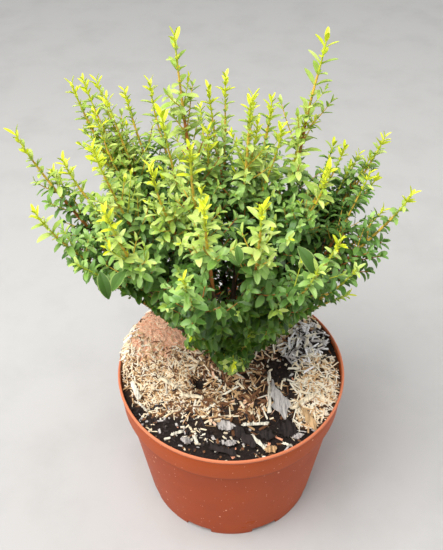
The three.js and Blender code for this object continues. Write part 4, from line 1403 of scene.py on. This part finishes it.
leafShape = {
    "power": 0.64, "full": (0.09, 0.27, 0.5, 0.74, 0.92), "small": (0.15, 0.48, 0.84), "fullFrom": 14.0,
    "least": 4.0, "grownAge": 26.0, "droop": 0.2,
    # Curl in radians is young + more when grown, times a random share; fold is in degrees; width is a share
    # of the length; thickness is a least one plus a share of the length
    "curl": (0.15, 0.85), "curlSpread": (0.5, 0.8), "fold": (12, 24), "width": (0.168, 0.062, 0.02),
    "thickness": (0.14, 0.005),
    "piece": 4800,  # leaves in a piece, which keeps it under 200,000 triangles
}


def leafTemplate(sections):
    # Each section has two edges and a top and bottom on the midrib, between a base and a tip point:
    # its half width goes with sin(pi u) to a power, where u is the share of the length
    u = np.array(sections)
    half = np.sin(math.pi * u) ** leafShape["power"]
    rows = [(0.0, 0.0, 0.0)]
    for share, width in zip(u, half):
        rows += [(share, -width, 0.0), (share, 0.0, 1.0), (share, width, 0.0), (share, 0.0, -1.0)]
    rows.append((1.0, 0.0, 0.0))
    count = len(sections)
    quads = gridFaces(count, 4)[:, ::-1] + 1
    tips = np.vstack([fan(0, np.arange(4) + 1), fan(4 * count + 1, np.arange(4) + 4 * count - 3, False)])
    return np.array(rows), quads, tips


fullLeaf = leafTemplate(leafShape["full"])
smallLeaf = leafTemplate(leafShape["small"])


def leafPoints(template, root, direction, along, length, grown, random):
    # The midrib is an arc that curls down from the leaf's direction, and the two halves fold up from it
    shape = leafShape
    count = len(root)
    upper = along - direction * np.sum(along * direction, -1, keepdims=True)
    sky = np.array([0, 0, 1.0]) - direction * direction[:, 2:]
    upper = normalized(normalized(upper) + sky)
    side = np.cross(direction, upper)
    rows, quads, tips = template
    u, v, w = rows[:, 0], rows[:, 1], rows[:, 2]
    young, more = shape["curl"]
    least, spread = shape["curlSpread"]
    curl = ((young + more * grown) * (least + spread * random.random(count)))[:, None]
    least, spread = shape["fold"]
    fold = np.radians(least + spread * random.random(count))[:, None]
    young, more, spread = shape["width"]
    width = (length * (young + more * grown + spread * random.random(count)))[:, None]
    reach = np.sin(curl * u) / curl * length[:, None]
    drop = (1 - np.cos(curl * u)) / curl * length[:, None]
    spots = root[:, None] + direction[:, None] * reach[..., None] - upper[:, None] * drop[..., None]
    localUp = upper[:, None] * np.cos(curl * u)[..., None] + direction[:, None] * np.sin(curl * u)[..., None]
    across = (width * v * np.cos(fold))[..., None]
    raised = (width * np.abs(v) * np.sin(fold))[..., None]
    thinnest, share = shape["thickness"]
    thick = (w * (thinnest + share * length[:, None]))[..., None]
    spots = spots + side[:, None] * across + localUp * (raised + thick)
    offset = (np.arange(count) * len(rows))[:, None, None]
    return spots.reshape(-1, 3), (quads + offset).reshape(-1, 4), (tips + offset).reshape(-1, 3)


def apparentAge(root, age):
    # Leaves take the darker tones of older leaves low in the crown and, as painted shade, round its open
    # places, but for the youngest, and lighter, younger tones high up
    level, span, most = growth["lowAge"]
    darkeningAge = most * np.clip((level - root[:, 2]) / span, 0, 1)
    reach, most = growth["gapShade"]
    # Painted shade: leaves round each open place take darker tones
    for place, way, _ in gaps:
        darkeningAge = darkeningAge + most * np.exp(-(distanceFrom(place, way, root) / reach) ** 4)
    start, span = growth["matureFrom"]
    age = age + darkeningAge * np.clip((age - start) / span, 0, 1)
    level, span, share = growth["highAge"]
    return age * (1 - share * np.clip((root[:, 2] - level) / span, 0, 1))


def makeLeaves(leaves):
    # Leaves are dealt out to tones by their age, in pieces of full and small ones
    random = np.random.default_rng(growth["leafSeed"])
    shape = leafShape
    parts = [np.concatenate([row[i] for row in leaves]) for i in range(5)]
    parts[3] = np.maximum(parts[3], shape["least"])
    tip = parts[0] + parts[1] * parts[3][:, None]
    kept = (tip[:, 2] - shape["droop"] * parts[3] > leafFloor(tip)) & ~inGap(tip, random)
    root, direction, along, length, age = [part[kept] for part in parts]
    age = apparentAge(root, age)
    nodes = [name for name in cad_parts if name.startswith("foliage_")]
    youngest = -999
    for tone, (_, _, oldest) in leafTones.items():
        chosen = np.flatnonzero((age >= youngest) & (age < oldest))
        youngest = oldest
        material = leafMaterial(tone)
        for part, start in enumerate(range(0, len(chosen), shape["piece"])):
            rows = chosen[start:start + shape["piece"]]
            isFull = length[rows] > shape["fullFrom"]
            sets, shade, offset = [], [], 0
            for template, group in ((fullLeaf, rows[isFull]), (smallLeaf, rows[~isFull])):
                grown = np.clip(age[group] / shape["grownAge"], 0, 1)
                points, quads, tips = leafPoints(template, root[group], direction[group], along[group],
                                                 length[group], grown, random)
                sets.append((points, quads + offset, tips + offset))
                shade.append(np.repeat(random.random(len(group)), len(template[0])))
                offset += len(points)
            points = np.vstack([found[0] for found in sets])
            faces = [np.vstack([found[i] for found in sets]) for i in (1, 2)]
            own = {"leafTone": np.concatenate(shade)}
            makePiece(f"leaves_{tone}_{part + 1}", points, faces, material, nodes, own, 50.0)
    print("leaves:", len(root))


largeLeafShape = {"rows": 10, "outline": (0.88, 0.8), "arch": 0.14, "leanX": 0.1, "leanY": -0.25}


def makeLargeLeaves():
    # Broad leaves on an arch between two places, five points across the top and one under the midrib, whose
    # half width goes with sin(pi u^a)^b, where u is the share of the length
    shape = largeLeafShape
    rows = shape["rows"]
    u = np.linspace(0.03, 0.97, rows)
    skewed, power = shape["outline"]
    half = np.sin(math.pi * u ** skewed) ** power
    across = np.array([-1, -0.74, 0, 0.74, 1, 0])
    lift = np.array([0.42, 0.34, 0, 0.34, 0.42, 0])
    under = np.array([0, 0.1, 0.18, 0.1, 0, -0.25])
    margin = [1, 0, 0, 0, 1, 0.6]
    sides = len(across)
    ownQuads, ownTips = tubeFaces(rows, sides, True)
    allPoints, quads, tips, edges = [], [], [], []
    for number, (foot, tip, width) in enumerate(largeLeaves):
        foot, tip = np.array(foot, float), np.array(tip, float)
        along = normalized(tip - foot)
        up = np.array([shape["leanX"] * math.sin(number * 2.4), shape["leanY"], 1.0])
        up = normalized(up - along * (up @ along))
        side = np.cross(along, up)
        length = np.linalg.norm(tip - foot)
        rise = shape["arch"] * length * np.sin(math.pi * u)
        middle = foot + (tip - foot) * u[:, None] + up * rise[:, None]
        reach = half[:, None] * across * width / 2
        rise = half[:, None] * lift * width / 2 + under
        spots = middle[:, None] + side * reach[..., None] + up * rise[..., None]
        offset = len(allPoints) * (rows * sides + 2)
        allPoints.append(np.vstack([spots.reshape(-1, 3), foot, tip]))
        quads.append(ownQuads + offset)
        tips.append(ownTips + offset)
        edges.append(np.concatenate([np.tile(margin, rows), [1, 1]]))
    edge = np.concatenate(edges)
    own = np.repeat(0.4 + 0.5 * (np.arange(len(allPoints)) * 0.618 % 1), rows * sides + 2)
    faces = [np.vstack(quads), np.vstack(tips)]
    makePiece("leaves_large", np.vstack(allPoints), faces, leafMaterial("deep", True),
              attributes={"leafEdge": edge, "leafTone": own}, sharpAngle=34.0)


limbShape = {  # knots are how much thicker a shoot is at its nodes, and how often
    "lowShare": 0.5, "shortest": 14.0, "rows": 16, "sides": 7, "taper": 0.8, "knots": (0.1, 0.55),
    "twigRadii": (0.85, 0.42), "twigSides": 4, "goldFrom": 16.0, "brownFrom": 30.0,
}


def makeShoots(paths, shoots):
    # Each shoot is a row of tubes end to end, from its green tip to its brown base
    shape = limbShape
    for part, (color, near, far) in shootParts.items():
        lines, radii = [], []
        for path, shoot in zip(paths, shoots):
            length = pathLength(path)
            share = shape["lowShare"] if shoot["isLow"] else 1
            start, end = near * share, far * share
            if start > length - shape["shortest"]:
                continue
            cut = growth["tipCut"] * leafScales.get(shoot["mass"], 1)
            spots = np.linspace(min(end + cut, length), start + cut, shape["rows"])
            lines.append(sampled(path, spots)[0])
            tip = plantSizes["shootTipRadius"]
            radius = tip + (shoot["radius"] - tip) * (spots / length) ** shape["taper"]
            swelling, often = shape["knots"]
            radii.append(radius * (1 + swelling * np.sin(spots * often)))
        points, faces = tubes(np.array(lines), np.array(radii), shape["sides"])
        material = stemMaterial("shoot_" + part, color)
        makePiece("shoot_" + part, points, faces, material, sharpAngle=60.0)


def makeTwigs(paths, ages):
    # Thin tubes that taper to the tip, in the colour of a shoot's tip, young part or middle by their age
    shape = limbShape
    radii = np.linspace(*shape["twigRadii"], paths.shape[1])[None] + 0 * ages[:, None]
    young, old = ages < shape["goldFrom"], ages >= shape["brownFrom"]
    middle = ~young & ~old
    groups = [("twigs_green", young, "tip"), ("twigs_gold", middle, "young"), ("twigs_brown", old, "middle")]
    for name, chosen, part in groups:
        points, faces = tubes(paths[chosen], radii[chosen], shape["twigSides"])
        color = shootParts[part][0]
        makePiece(name, points, faces, stemMaterial(name, color), sharpAngle=70.0)


makeCamera()
makeStage()
print("camera, floor and light made")
makePot()
makeSoil()
chipMaterials = {tone: chipMaterial(tone) for tone in mulchColors}
makeChips(chipMaterials)
makeBigChips()
print("pot and mulch made")
shootPlan, boughPlan = planShoots()
addInnerShoots(shootPlan)
bark = barkMaterial()
makeStem(bark)
makeBoughs(boughPlan, bark)
print("stem and boughs made")
growthRandom = np.random.default_rng(growth["seed"])
leafRows = []
shootPaths, twigPlan = growShoots(shootPlan, boughPlan, leafRows, growthRandom)
twigPaths, twigAges = growTwigs(twigPlan, leafRows, growthRandom)
makeShoots(shootPaths, shootPlan)
makeTwigs(twigPaths, twigAges)
makeLeaves(leafRows)
makeLargeLeaves()
print("crown made:", len(twigPaths), "twigs")
